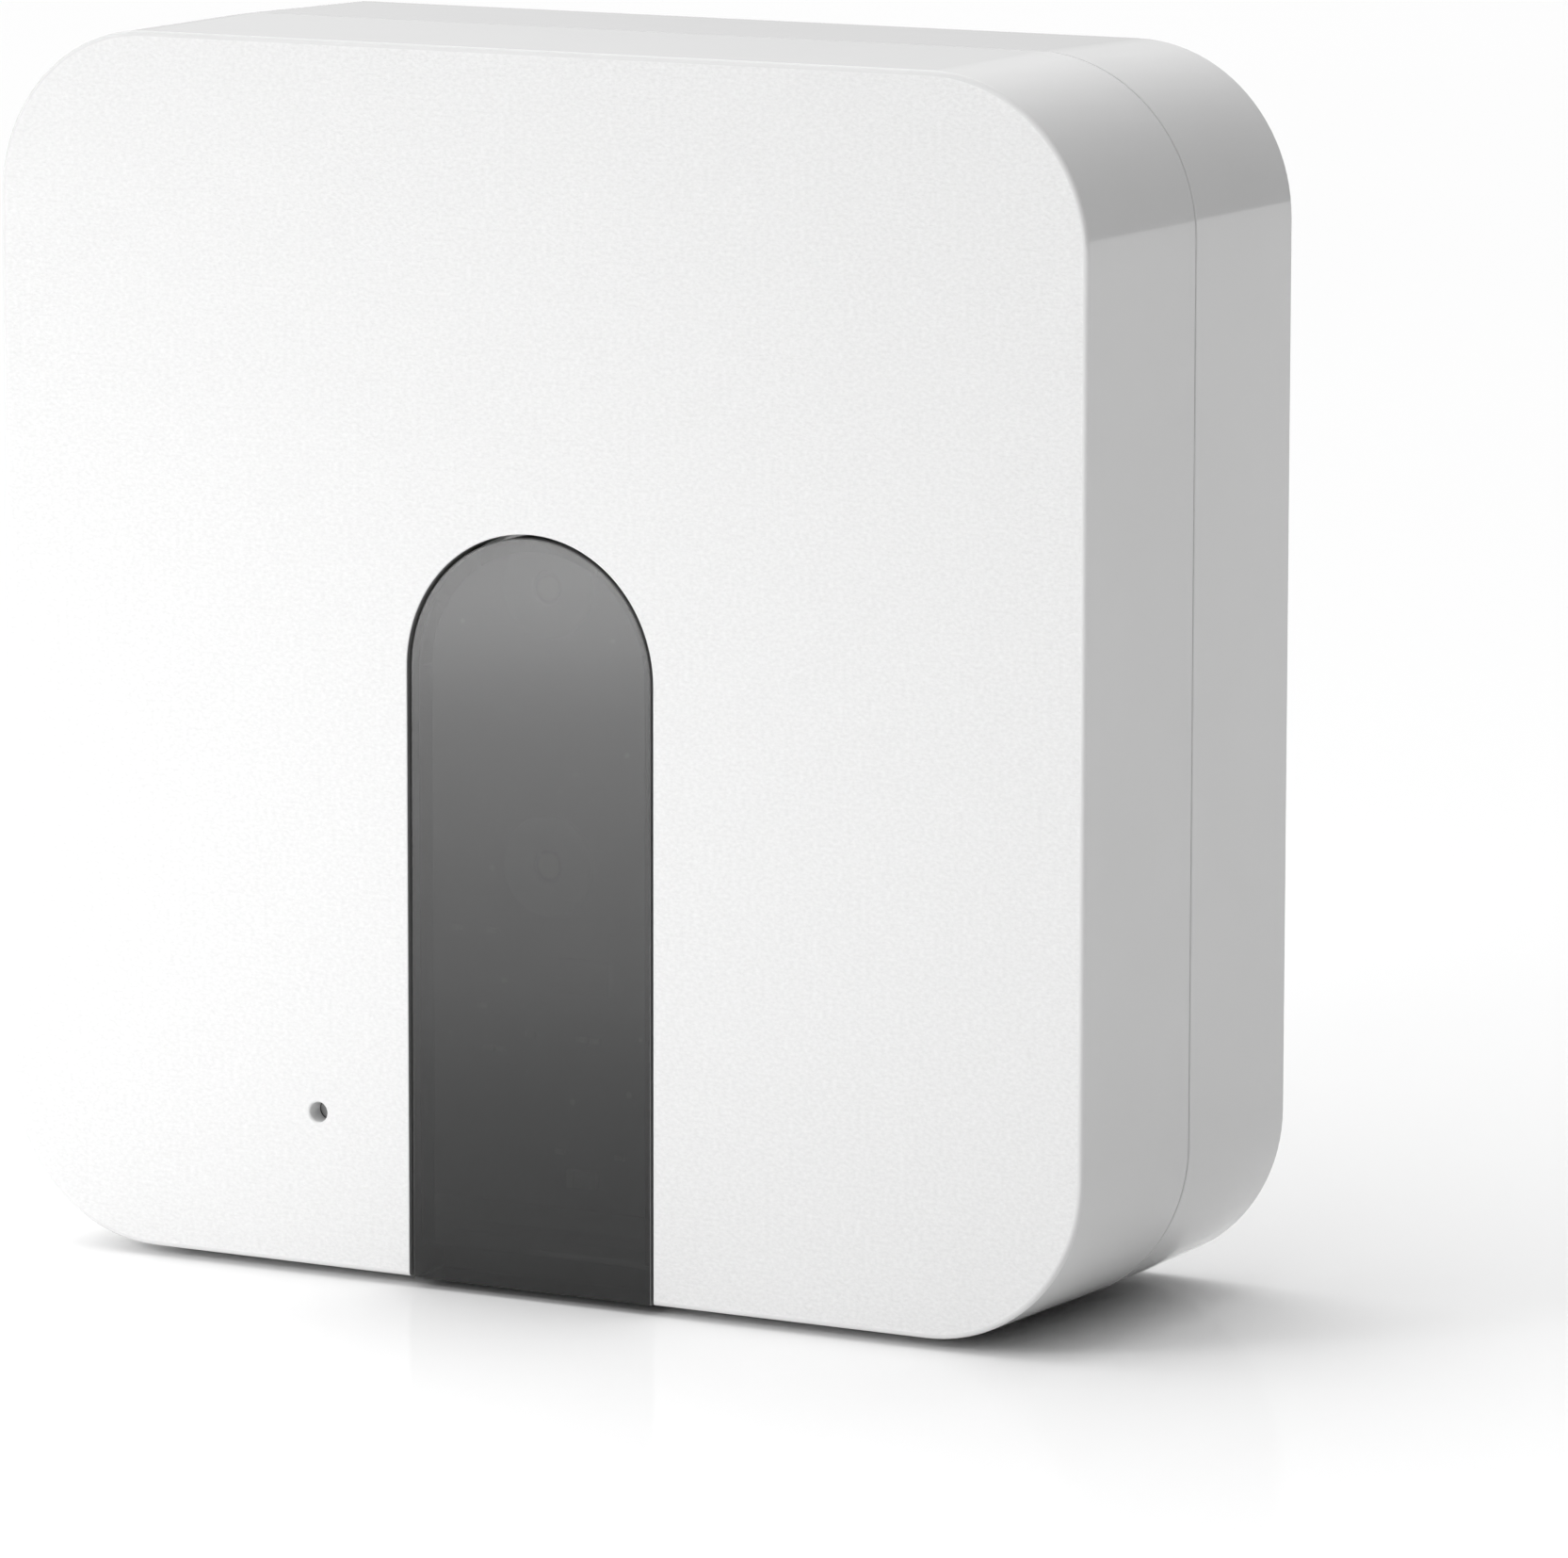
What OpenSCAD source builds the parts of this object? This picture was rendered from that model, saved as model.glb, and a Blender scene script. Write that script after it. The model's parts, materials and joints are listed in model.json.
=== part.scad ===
// Upright smart home hub: a square case that stands on four rubber pads.
// Frame: +Z up, the face looks along -Y, the origin is on the table under the middle.

/* [Case] */
// Width and height of the square case at its parting line
case_size = 110.4; // [108:0.2:114]
// Depth of the case from face to back
case_depth = 39; // [39:0.5:42]
// Radius of the four corners, seen from the front
corner_r = 15.5; // [14:0.5:17]
// Depth of the front shell, from the face to the parting line
front_depth = 19.8; // [19.6:0.1:20]
// Width of the groove along the parting line
groove_w = 0.2; // [0.1:0.05:0.3]
// Thickness of the side and back walls
wall = 2; // [1.8:0.1:2.2]
// Thickness of the face
face_wall = 1.8; // [1.7:0.1:1.9]

/* [Window] */
// Radius of the arched cut-out, half its width
window_r = 12.55; // [12:0.05:13]
// Clearance between lens and cut-out
lens_gap = 0.35; // [0.25:0.05:0.4]
// Depth of the lens surface behind the face
lens_inset = 0.18; // [0.1:0.02:0.3]
// Thickness of the lens
lens_t = 2.3; // [2.1:0.1:2.4]
// Height of the lens foot that returns under the case
lens_foot_h = 2.9; // [2.5:0.1:3.2]
// Length of the lens foot, from front to rear
lens_foot_len = 9; // [7:0.5:10]

/* [Reset hole] */
// Radius of the reset pinhole
pinhole_r = 0.9; // [0.8:0.05:1]
// Distance of the pinhole to the left of the middle
pinhole_left = 22.05; // [21:0.5:23]
// Distance of the pinhole below the middle of the face
pinhole_down = 41; // [40:0.5:42]

/* [Lights] */
// Radius of each status light ring
ring_r = 4.5; // [4:0.1:5]
// Radius of the hole in each ring
ring_hole_r = 1.5; // [1.4:0.1:1.7]
// Height of the upper ring above the middle of the face
upper_ring_up = 7.5; // [6:0.5:9]
// Distance of the lower ring below the middle of the face
lower_ring_down = 17.3; // [16:0.5:19]

/* [Feet] */
// Radius of each rubber pad
pad_r = 4; // [3.5:0.5:4.5]
// Gap between the case and the table
pad_gap = 0.8; // [0.6:0.1:1.2]
// Distance of the pads from the middle, sideways
pad_x = 33; // [28:1:36]

/* [Back] */
// Width of the recess that holds the sockets
bay_w = 54; // [50:1:56]
// Height of the recess
bay_h = 20; // [19:0.5:21]
// Depth of the recess
bay_depth = 5; // [5:0.1:5.3]
// Width of the Ethernet socket's opening
lan_w = 11.9; // [11.8:0.05:12.1]
// Height of the Ethernet socket's opening
lan_h = 7; // [6.9:0.05:7.2]
// Radius of the pairing button
button_r = 3.8; // [3.5:0.1:4]
// Number of cooling slots in each row
slots = 13; // [9:2:15]

/* [Hidden] */
$fn = 96;

cut = 1;                                   // how far a cutter runs past what it cuts
mid_z = pad_gap + case_size / 2;           // height of the middle of the face
face_y = -case_depth / 2;
back_y = case_depth / 2;
face_in_y = face_y + face_wall;
back_in_y = back_y - wall;
front_rim_y = face_y + front_depth - groove_w / 2;
rear_rim_y = front_rim_y + groove_w;

// Lap joint: a lip on the rear shell stands inside a rebate in the front shell's rim
lap_len = 1.8;
lap_wall = 1;
lap_gap = 0.1;

// Screw posts in the four corners
post_xz = case_size / 2 - 13.7;
post_r = 3.8;
case_screw_r = 1.45;
case_screw_head_r = 2.7;
post_meet_y = front_rim_y - 0.3;
screw_seat_t = 3;
screw_seat_y = post_meet_y + 0.1 + screw_seat_t;
screw_len = 12;

// Lens, the ledge behind it and the seal between them
lens_r = window_r - lens_gap;
lens_y = face_y + lens_inset;
lens_back_y = lens_y + lens_t;
lens_bottom_z = pad_gap + 0.15;
gasket_t = 0.2;
ledge_w = 1.2;
ledge_t = 0.7;
ledge_y = lens_back_y + gasket_t;
ledge_back_y = ledge_y + ledge_t;
frame_t = 1.5;
foot_end_y = lens_y + lens_foot_len;
foot_top_z = lens_bottom_z + lens_foot_h;

// Front board, just behind the lens
front_board_y = face_y + 4.5;
front_board_t = 1.2;
front_board_back_y = front_board_y + front_board_t;
front_board_x = [-30, 21];
front_board_z = [-48, 20];                 // below and above the middle of the face
front_posts = [[-26.5, 16], [17.5, 16], [-26.5, -29], [17.5, -44]];
front_post_r = 2.4;
board_screw_r = 1;
board_screw_head_r = 1.9;
board_screw_head_h = 1.4;
ring_h = 0.5;
led_r = 1.1;
led_h = 0.4;
chip_at = [3.9, -26.9];
chip_size = [5.3, 3.1];
small_parts = [[-9.5, -23.6], [-5.75, -23.6], [-6.75, -30.4], [-1.9, -32.6], [3.35, -32.6],
    [4.75, -32.6], [-6.2, -34.2], [-5, -34.2], [1.15, -42.85], [7.25, -42.85]];

// Reset switch under the pinhole
reset_size = [4.2, 3.2];
reset_body_h = 1.7;
reset_stem_r = 0.9;
reset_fit = 0.05;
reset_top_y = face_in_y + 0.15;

// Ribbon cable between the two boards, bent over in a half turn
ribbon_w = 11;
ribbon_t = 0.2;
ribbon_z = -12;                            // height of both sockets, from the middle
ribbon_rise = 12;
ribbon_socket = [15, 5, 1.6];

// Main board in the middle of the case
main_y = -1;
main_t = 1.6;
main_back_y = main_y + main_t;
main_size = [78, 88];
main_posts = [[-34, 30], [34, 30], [-34, -24], [34, -24]];
main_post_r = 3;

// Sockets and button on the back, seen from the middle of the face
bay_at = [0, -38];
bay_floor_y = back_y - bay_depth;
bay_floor_t = 1.8;
bay_r = 3;
socket_y = bay_floor_y - 0.3;              // front of both sockets
lan_at = [-11, -38];
lan_body = [16, 14.4];
lan_shield_t = 0.3;
lan_depth = 11;
lan_latch = [6, 1.5];
usb_at = [14, -38];
usb_shell = [8.94, 3.26];
usb_wall = 0.3;
usb_depth = 6.5;
usb_tongue = [6.69, 0.7, 4.6];
button_at = [20, -19];
button_gap = 0.3;
button_flange_r = 5;
button_flange_t = 1;
button_stop_gap = 0.1;
button_inset = 0.2;
button_guide_t = 1;
tact_size = 6;
tact_h = 3.5;
tact_stem_r = 1.75;
tact_fit = 0.05;
slot_w = 2;
slot_len = 12;
slot_pitch = 5;
slot_rows = [38, 22];
label_size = [58, 26];
label_at = [0, 1];
label_t = 0.3;

// Rubber pads
pad_recess = 0.7;
pad_front_y = -10;
pad_rear_y = 11;

// A plate from y0 to y1 with the outline of its children, drawn from the middle of the face
module slab(y0, y1) {
    translate([0, y1, mid_z]) rotate([90, 0, 0]) linear_extrude(y1 - y0) children();
}

// A rod from y0 to y1 at [x, z] from the middle of the face
module rod(at, y0, y1, r) {
    translate([at[0], y1, mid_z + at[1]]) rotate([90, 0, 0]) cylinder(h = y1 - y0, r = r);
}

// A block from y0 to y1, centred at [x, z] from the middle of the face
module block(at, size, y0, y1) {
    translate([at[0] - size[0] / 2, y0, mid_z + at[1] - size[1] / 2])
        cube([size[0], y1 - y0, size[1]]);
}

module rounded_rect(size, r) {
    square([size[0], size[1] - 2 * r], center = true);
    square([size[0] - 2 * r, size[1]], center = true);
    for (x = [-1, 1], z = [-1, 1])
        translate([x * (size[0] / 2 - r), z * (size[1] / 2 - r)]) circle(r = r);
}

// Outline of the case, set in from its surface
module case_outline(inset) {
    side = case_size - 2 * inset;
    rounded_rect([side, side], corner_r - inset);
}

// Round-topped outline that runs straight down from the middle of the face
module arch(r, down) {
    circle(r = r);
    translate([-r, -down]) square([2 * r, down]);
}

// ---- Case ----

module lens_frame() {
    slab(face_in_y, ledge_back_y) arch(window_r + frame_t, mid_z - pad_gap - wall / 2);
}

module window_cut() {
    slab(face_y - cut, ledge_y) arch(window_r, case_size);
    slab(ledge_y - cut, ledge_back_y + cut) arch(window_r - ledge_w, mid_z - foot_top_z - lens_gap);
    translate([-window_r, face_y - cut, pad_gap - cut])
        cube([2 * window_r, foot_end_y + lens_gap - face_y + cut, foot_top_z + lens_gap - pad_gap + cut]);
}

module pad_recess_cut(x, y) {
    translate([x, y, pad_gap - cut]) cylinder(h = pad_recess + cut, r = pad_r + 0.1);
}

module front_shell() color("white") difference() {
    union() {
        difference() {
            slab(face_y, front_rim_y) case_outline(0);
            slab(face_in_y, front_rim_y + cut) case_outline(wall);
            slab(front_rim_y - lap_len, front_rim_y + cut) case_outline(lap_wall);
        }
        lens_frame();
        for (x = [-1, 1], z = [-1, 1])
            rod([x * post_xz, z * post_xz], face_in_y - 0.5, post_meet_y, post_r);
        for (at = front_posts) rod(at, face_in_y - 0.5, front_board_y, front_post_r);
    }
    window_cut();
    rod([-pinhole_left, -pinhole_down], face_y - cut, face_in_y + cut, pinhole_r);
    for (x = [-1, 1], z = [-1, 1])
        rod([x * post_xz, z * post_xz], face_in_y + 2, post_meet_y + cut, case_screw_r);
    for (at = front_posts) rod(at, face_in_y, front_board_y + cut, board_screw_r);
    for (x = [-1, 1]) pad_recess_cut(x * pad_x, pad_front_y);
}

module rear_shell() color("white") difference() {
    union() {
        difference() {
            slab(rear_rim_y, back_y) case_outline(0);
            slab(rear_rim_y - cut, back_in_y) case_outline(wall);
        }
        difference() {
            slab(front_rim_y - lap_len + lap_gap, rear_rim_y + 0.5) case_outline(lap_wall + lap_gap);
            slab(front_rim_y - lap_len, rear_rim_y + 0.6) case_outline(wall);
        }
        for (x = [-1, 1], z = [-1, 1])
            rod([x * post_xz, z * post_xz], post_meet_y + 0.1, back_in_y + 0.5, post_r);
        for (at = main_posts) rod(at, main_back_y, back_in_y + 0.5, main_post_r);
        rod(button_at, back_in_y - 5, back_in_y + 0.5, button_flange_r + button_gap + button_guide_t);
        slab(bay_floor_y - bay_floor_t, back_in_y + 0.5) translate(bay_at)
            rounded_rect([bay_w + 3, bay_h + 3], bay_r + 1.5);
    }
    slab(bay_floor_y, back_y + cut) translate(bay_at) rounded_rect([bay_w, bay_h], bay_r);
    block(lan_at, lan_body + [0.6, 0.6], main_back_y, bay_floor_y + cut);
    slab(main_back_y, bay_floor_y + cut) translate(usb_at)
        rounded_rect(usb_shell + [0.5, 0.5], usb_shell[1] / 2 + 0.24);
    rod(button_at, back_in_y - 6, back_in_y, button_flange_r + button_gap);
    rod(button_at, back_in_y - cut, back_y + cut, button_r + button_gap);
    for (x = [-1, 1], z = [-1, 1]) {
        rod([x * post_xz, z * post_xz], post_meet_y, back_y + cut, case_screw_r + 0.25);
        rod([x * post_xz, z * post_xz], screw_seat_y, back_y + cut, case_screw_head_r + 0.4);
    }
    for (at = main_posts) rod(at, main_back_y - cut, main_back_y + 7, board_screw_r);
    for (row = slot_rows, i = [0 : slots - 1])
        slab(back_in_y - cut, back_y + cut)
            translate([(i - (slots - 1) / 2) * slot_pitch, row])
                rounded_rect([slot_w, slot_len], slot_w / 2 - 0.01);
    block(label_at, label_size + [0.3, 0.3], back_y - label_t, back_y + cut);
    for (x = [-1, 1]) pad_recess_cut(x * pad_x, pad_rear_y);
}

module window_lens() color([0.25, 0.25, 0.27, 0.6]) {
    slab(lens_y, lens_back_y) arch(lens_r, mid_z - lens_bottom_z);
    translate([-lens_r, lens_y, lens_bottom_z]) cube([2 * lens_r, lens_foot_len, lens_foot_h]);
}

module lens_gasket() color([0.1, 0.1, 0.1]) slab(lens_back_y, ledge_y) difference() {
    arch(lens_r, mid_z - foot_top_z - lens_gap);
    translate([0, -cut]) arch(window_r - ledge_w, mid_z);
}

// ---- Front board ----

module front_board() color([0.1, 0.14, 0.12]) difference() {
    translate([front_board_x[0], front_board_y, mid_z + front_board_z[0]])
        cube([front_board_x[1] - front_board_x[0], front_board_t, front_board_z[1] - front_board_z[0]]);
    for (at = front_posts)
        rod(at, front_board_y - cut, front_board_back_y + cut, board_screw_r + 0.15);
}

module light_ring(z) color([0.9, 0.9, 0.88]) difference() {
    rod([0, z], front_board_y - ring_h, front_board_y, ring_r);
    rod([0, z], front_board_y - ring_h - cut, front_board_y + cut, ring_hole_r);
}

module led(z) color([0.95, 0.9, 0.7]) rod([0, z], front_board_y - led_h, front_board_y, led_r);

module upper_light_ring() light_ring(upper_ring_up);
module lower_light_ring() light_ring(-lower_ring_down);
module upper_led() led(upper_ring_up);
module lower_led() led(-lower_ring_down);

module touch_chip() color([0.15, 0.15, 0.15])
    block(chip_at, chip_size, front_board_y - 0.9, front_board_y);

module front_board_parts() color([0.7, 0.65, 0.55]) {
    for (at = small_parts) block(at, [1, 0.5], front_board_y - 0.4, front_board_y);
    block([3.5, -45.1], [3, 1.6], front_board_y - 0.7, front_board_y);
}

module reset_switch() color([0.2, 0.2, 0.2]) difference() {
    at = [-pinhole_left, -pinhole_down];
    block(at, reset_size, front_board_y - reset_body_h, front_board_y);
    rod(at, front_board_y - reset_body_h - cut, front_board_y - 0.4, reset_stem_r + reset_fit);
}

module reset_stem() color([0.85, 0.85, 0.85])
    rod([-pinhole_left, -pinhole_down], reset_top_y, front_board_y - 0.8, reset_stem_r);

module board_screw(at, head_y, length, head_side) {
    rod(at, min(head_y, head_y - head_side * length), max(head_y, head_y - head_side * length),
        board_screw_r - 0.05);
    rod(at, min(head_y, head_y + head_side * board_screw_head_h),
        max(head_y, head_y + head_side * board_screw_head_h), board_screw_head_r);
}

module front_board_screws() color("silver")
    for (at = front_posts) board_screw(at, front_board_back_y, 3.6, 1);

// ---- Ribbon cable between the boards ----

module ribbon_socket_at(y0, y1) color([0.9, 0.88, 0.8]) difference() {
    block([0, ribbon_z], [ribbon_socket[0], ribbon_socket[1]], y0, y1);
    block([0, ribbon_z + 1], [ribbon_w + 0.2, ribbon_socket[1]],
        (y0 + y1) / 2 - ribbon_t / 2, (y0 + y1) / 2 + ribbon_t / 2);
}

module front_ribbon_socket()
    ribbon_socket_at(front_board_back_y, front_board_back_y + ribbon_socket[2]);
module main_ribbon_socket() ribbon_socket_at(main_y - ribbon_socket[2], main_y);

module ribbon_cable() color([0.92, 0.92, 0.9]) {
    y0 = front_board_back_y + ribbon_socket[2] / 2;
    y1 = main_y - ribbon_socket[2] / 2;
    turn_r = (y1 - y0) / 2;
    bottom = mid_z + ribbon_z - ribbon_socket[1] / 2 + 1;
    translate([-ribbon_w / 2, 0, 0]) rotate([90, 0, 90]) linear_extrude(ribbon_w) {
        for (y = [y0, y1]) translate([y - ribbon_t / 2, bottom]) square([ribbon_t, ribbon_rise]);
        translate([(y0 + y1) / 2, bottom + ribbon_rise]) difference() {
            circle(r = turn_r + ribbon_t / 2);
            circle(r = turn_r - ribbon_t / 2);
            translate([-2 * turn_r, -3 * turn_r]) square([4 * turn_r, 3 * turn_r]);
        }
    }
}

// ---- Main board ----

module on_board(at, size, h) block(at, size, main_back_y, main_back_y + h);

module main_board() color([0.08, 0.25, 0.16]) difference() {
    block([0, -2], main_size, main_y, main_back_y);
    for (x = [-1, 1], z = [-1, 1])
        rod([x * post_xz, z * post_xz], main_y - cut, main_back_y + cut, post_r + 1);
    for (at = main_posts) rod(at, main_y - cut, main_back_y + cut, board_screw_r + 0.15);
}

processor_at = [-12, 8];
processor_h = 1.2;
pad_h = 0.5;

module main_processor() color([0.12, 0.12, 0.12]) on_board(processor_at, [14, 14], processor_h);

module thermal_pad() color([0.55, 0.6, 0.7])
    block(processor_at, [13, 13], main_back_y + processor_h, main_back_y + processor_h + pad_h);

module heat_sink() color([0.7, 0.7, 0.72]) {
    fins = 8;
    size = 28;
    fin_t = 1.2;
    y0 = main_back_y + processor_h + pad_h;
    block(processor_at, [size, size], y0, y0 + 1.5);
    for (i = [0 : fins - 1])
        block([processor_at[0] - size / 2 + fin_t / 2 + i * (size - fin_t) / (fins - 1), processor_at[1]],
            [fin_t, size], y0 + 1, y0 + 8);
}

module memory_chip() color([0.12, 0.12, 0.12]) on_board([12, 8], [11, 8], 1);
module wifi_shield() color("silver") on_board([23, 23], [14, 18], 2.2);
module mesh_shield() color("silver") on_board([22, -3], [14, 12], 2.2);

// Stamped antenna: a foot on the board, a riser and an arm along the board's edge
module stamped_antenna(x) {
    top = [x, 37.5];
    on_board(top, [20, 3], 0.4);
    on_board(top - [8.5, 0], [1.5, 3], 5);
    on_board(top - [4, 0], [1.5, 3], 5);
    block(top, [20, 3], main_back_y + 4.6, main_back_y + 5);
}

module wifi_antenna() color([0.85, 0.8, 0.6]) stamped_antenna(24);
module mesh_antenna() color([0.85, 0.8, 0.6]) stamped_antenna(-24);
module lan_transformer() color([0.12, 0.12, 0.12]) on_board([-11, -20], [13, 9], 5.5);
module power_inductor() color([0.3, 0.3, 0.3]) on_board([13, -27.5], [6, 5], 3);

module bulk_capacitor() color([0.2, 0.2, 0.5])
    rod([4.5, -22], main_back_y, main_back_y + 8, 3.1);

module clock_crystal() color("silver") on_board([5, 17], [3.2, 2.5], 0.8);

module main_board_parts() color([0.65, 0.6, 0.5]) {
    for (i = [0 : 5]) on_board([-34 + i * 3, -8], [1.6, 0.8], 0.6);
    for (i = [0 : 4]) on_board([5 + i * 2.5, 22], [1.2, 0.6], 0.5);
    for (i = [0 : 3]) on_board([-30 + i * 4, 27], [2, 1.2], 0.8);
}

module main_board_screws() color("silver")
    for (at = main_posts) board_screw(at, main_y, 8, -1);

// ---- Sockets ----

module ethernet_jack() color([0.15, 0.15, 0.15]) difference() {
    block(lan_at, lan_body - 2 * [lan_shield_t, lan_shield_t], main_back_y, socket_y);
    block(lan_at, [lan_w, lan_h], socket_y - lan_depth, socket_y + cut);
    block(lan_at + [0, (lan_h + lan_latch[1]) / 2 - 0.1], lan_latch, socket_y - lan_depth, socket_y + cut);
}

module ethernet_shield() color("silver") difference() {
    block(lan_at, lan_body, main_back_y, socket_y);
    block(lan_at, lan_body - 2 * [lan_shield_t, lan_shield_t], main_back_y - cut, socket_y + cut);
}

module ethernet_contacts() color("gold")
    for (i = [0 : 7])
        block(lan_at + [(i - 3.5) * 1.02, -lan_h / 2 + 0.4], [0.45, 0.8], socket_y - lan_depth, socket_y - 2);

module usb_outline(inset) {
    size = usb_shell - 2 * [inset, inset];
    translate(usb_at) rounded_rect(size, size[1] / 2 - 0.01);
}

module usb_c_shell() color("silver") slab(main_back_y, socket_y) difference() {
    usb_outline(0);
    usb_outline(usb_wall);
}

module usb_c_core() color([0.12, 0.12, 0.12]) {
    slab(main_back_y, socket_y - usb_depth) usb_outline(usb_wall);
    block(usb_at, [usb_tongue[0], usb_tongue[1]], socket_y - usb_depth - 0.5,
        socket_y - usb_depth + usb_tongue[2]);
}

// ---- Pairing button ----

tact_top_y = main_back_y + tact_h;
stem_top_y = tact_top_y + 2;
flange_top_y = back_in_y - button_stop_gap;

module pairing_button() color([0.92, 0.92, 0.92]) {
    rod(button_at, flange_top_y - button_flange_t, back_y - button_inset, button_r);
    rod(button_at, flange_top_y - button_flange_t, flange_top_y, button_flange_r);
    rod(button_at, stem_top_y, flange_top_y, 2);
}

module pairing_switch() color([0.2, 0.2, 0.2]) difference() {
    on_board(button_at, [tact_size, tact_size], tact_h);
    rod(button_at, main_back_y + 1, tact_top_y + cut, tact_stem_r + tact_fit);
}

module pairing_stem() color([0.9, 0.9, 0.9])
    rod(button_at, main_back_y + 1.5, stem_top_y, tact_stem_r);

// ---- Fasteners, feet and label ----

module case_screws() color([0.3, 0.3, 0.32])
    for (x = [-1, 1], z = [-1, 1]) difference() {
        union() {
            rod([x * post_xz, z * post_xz], screw_seat_y - screw_len, screw_seat_y, case_screw_r - 0.05);
            rod([x * post_xz, z * post_xz], screw_seat_y, screw_seat_y + 2, case_screw_head_r);
        }
        rod([x * post_xz, z * post_xz], screw_seat_y + 0.8, screw_seat_y + 2 + cut, 1.1, $fn = 6);
    }

module foot(x, y) color([0.15, 0.15, 0.15])
    translate([x, y, 0]) cylinder(h = pad_gap + pad_recess, r = pad_r);

module foot_front_left() foot(-pad_x, pad_front_y);
module foot_front_right() foot(pad_x, pad_front_y);
module foot_rear_left() foot(-pad_x, pad_rear_y);
module foot_rear_right() foot(pad_x, pad_rear_y);

module rating_label() color([0.85, 0.85, 0.85])
    block(label_at, label_size, back_y - label_t, back_y - 0.1);

front_shell();
rear_shell();
window_lens();
lens_gasket();
front_board();
upper_light_ring();
lower_light_ring();
upper_led();
lower_led();
touch_chip();
front_board_parts();
reset_switch();
reset_stem();
front_board_screws();
front_ribbon_socket();
ribbon_cable();
main_ribbon_socket();
main_board();
main_processor();
thermal_pad();
heat_sink();
memory_chip();
wifi_shield();
mesh_shield();
wifi_antenna();
mesh_antenna();
lan_transformer();
power_inductor();
bulk_capacitor();
clock_crystal();
main_board_parts();
ethernet_jack();
ethernet_shield();
ethernet_contacts();
usb_c_shell();
usb_c_core();
pairing_button();
pairing_switch();
pairing_stem();
main_board_screws();
case_screws();
foot_front_left();
foot_front_right();
foot_rear_left();
foot_rear_right();
rating_label();
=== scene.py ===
"""Looks of an upright smart home hub: white moulded case, smoky arched window, boards inside."""

import json
import math

import bmesh
import bpy
from mathutils import Matrix, Vector


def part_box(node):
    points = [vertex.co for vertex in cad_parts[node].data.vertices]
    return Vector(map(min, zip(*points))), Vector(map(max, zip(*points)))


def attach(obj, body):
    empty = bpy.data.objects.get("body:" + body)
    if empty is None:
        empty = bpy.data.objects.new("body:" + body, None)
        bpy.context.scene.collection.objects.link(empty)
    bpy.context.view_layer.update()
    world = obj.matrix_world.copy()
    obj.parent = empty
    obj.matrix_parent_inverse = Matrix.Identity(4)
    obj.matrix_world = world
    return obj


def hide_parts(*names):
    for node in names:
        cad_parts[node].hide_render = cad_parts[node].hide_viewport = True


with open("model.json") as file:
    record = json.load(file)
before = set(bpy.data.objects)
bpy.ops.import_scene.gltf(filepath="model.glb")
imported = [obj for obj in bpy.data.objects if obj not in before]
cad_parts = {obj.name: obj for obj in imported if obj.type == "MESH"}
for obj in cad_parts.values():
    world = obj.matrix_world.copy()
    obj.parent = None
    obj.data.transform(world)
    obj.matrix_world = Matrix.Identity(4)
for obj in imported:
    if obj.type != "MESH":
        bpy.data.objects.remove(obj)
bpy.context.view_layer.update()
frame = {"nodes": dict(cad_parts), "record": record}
MM = 0.001

# ---- Sizes, read from the frame ----

FRONT_LOW, FRONT_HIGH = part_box("front_shell")
LENS_LOW, LENS_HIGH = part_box("window_lens")
GASKET_LOW, GASKET_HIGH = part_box("lens_gasket")
BOARD_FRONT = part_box("front_board")[0].y

CASE = FRONT_HIGH.x - FRONT_LOW.x
CASE_BOTTOM = FRONT_LOW.z
MID_Z = (FRONT_LOW.z + FRONT_HIGH.z) / 2
FACE_Y, RIM_Y = FRONT_LOW.y, FRONT_HIGH.y
BACK_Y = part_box("rear_shell")[1].y

# Case walls
CORNER = 15.5 * MM
GROOVE = 0.2 * MM            # width of the parting line between the shells
WALL = 2 * MM
FACE_WALL = 1.8 * MM
LAP = 1.8 * MM               # how far the rear shell's lip reaches into the front shell
LAP_WALL = 1 * MM
LAP_GAP = 0.1 * MM
ROOT = 0.5 * MM              # how far a post or frame runs into the wall that it stands on
FRONT_DRAFT = 0.2 * MM       # how much smaller the outline is at the face than at the rim
REAR_DRAFT = 0.28 * MM
FACE_EDGE = 0.45 * MM        # rounding between the face and the sides
BACK_EDGE = 0.3 * MM
RIM_EDGE = 0.08 * MM

# Window
WINDOW_R = 12.55 * MM
LEDGE = 1.2 * MM             # width of the ledge that the gasket lies on
LEDGE_T = 0.7 * MM
FRAME_W = 1.5 * MM           # width of the raised frame round the opening, on the inside
WINDOW_EDGE = 0.12 * MM
LENS_R = LENS_HIGH.x
LENS_T = GASKET_LOW.y - LENS_LOW.y
LENS_EDGE = 0.1 * MM
FOOT_H = 2.9 * MM            # height of the lens's foot, which returns under the case
FOOT_TOP = LENS_LOW.z + FOOT_H
FIT = 0.35 * MM              # clearance round the foot
GASKET_LIP = 0.5 * MM        # how far the gasket stands in from the ledge that it lies on

# Posts and screws
PINHOLE_R = 0.9 * MM
POST_R = 3.8 * MM
BOARD_POST_R = 2.4 * MM
MAIN_POST_R = 3 * MM
CASE_PILOT_R = 1.45 * MM
CASE_CLEARANCE_R = 1.7 * MM
BOARD_PILOT_R = 1 * MM
CASE_HEAD_T = 2 * MM         # height of a case screw's head
BOARD_HEAD_T = 1.4 * MM

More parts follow.
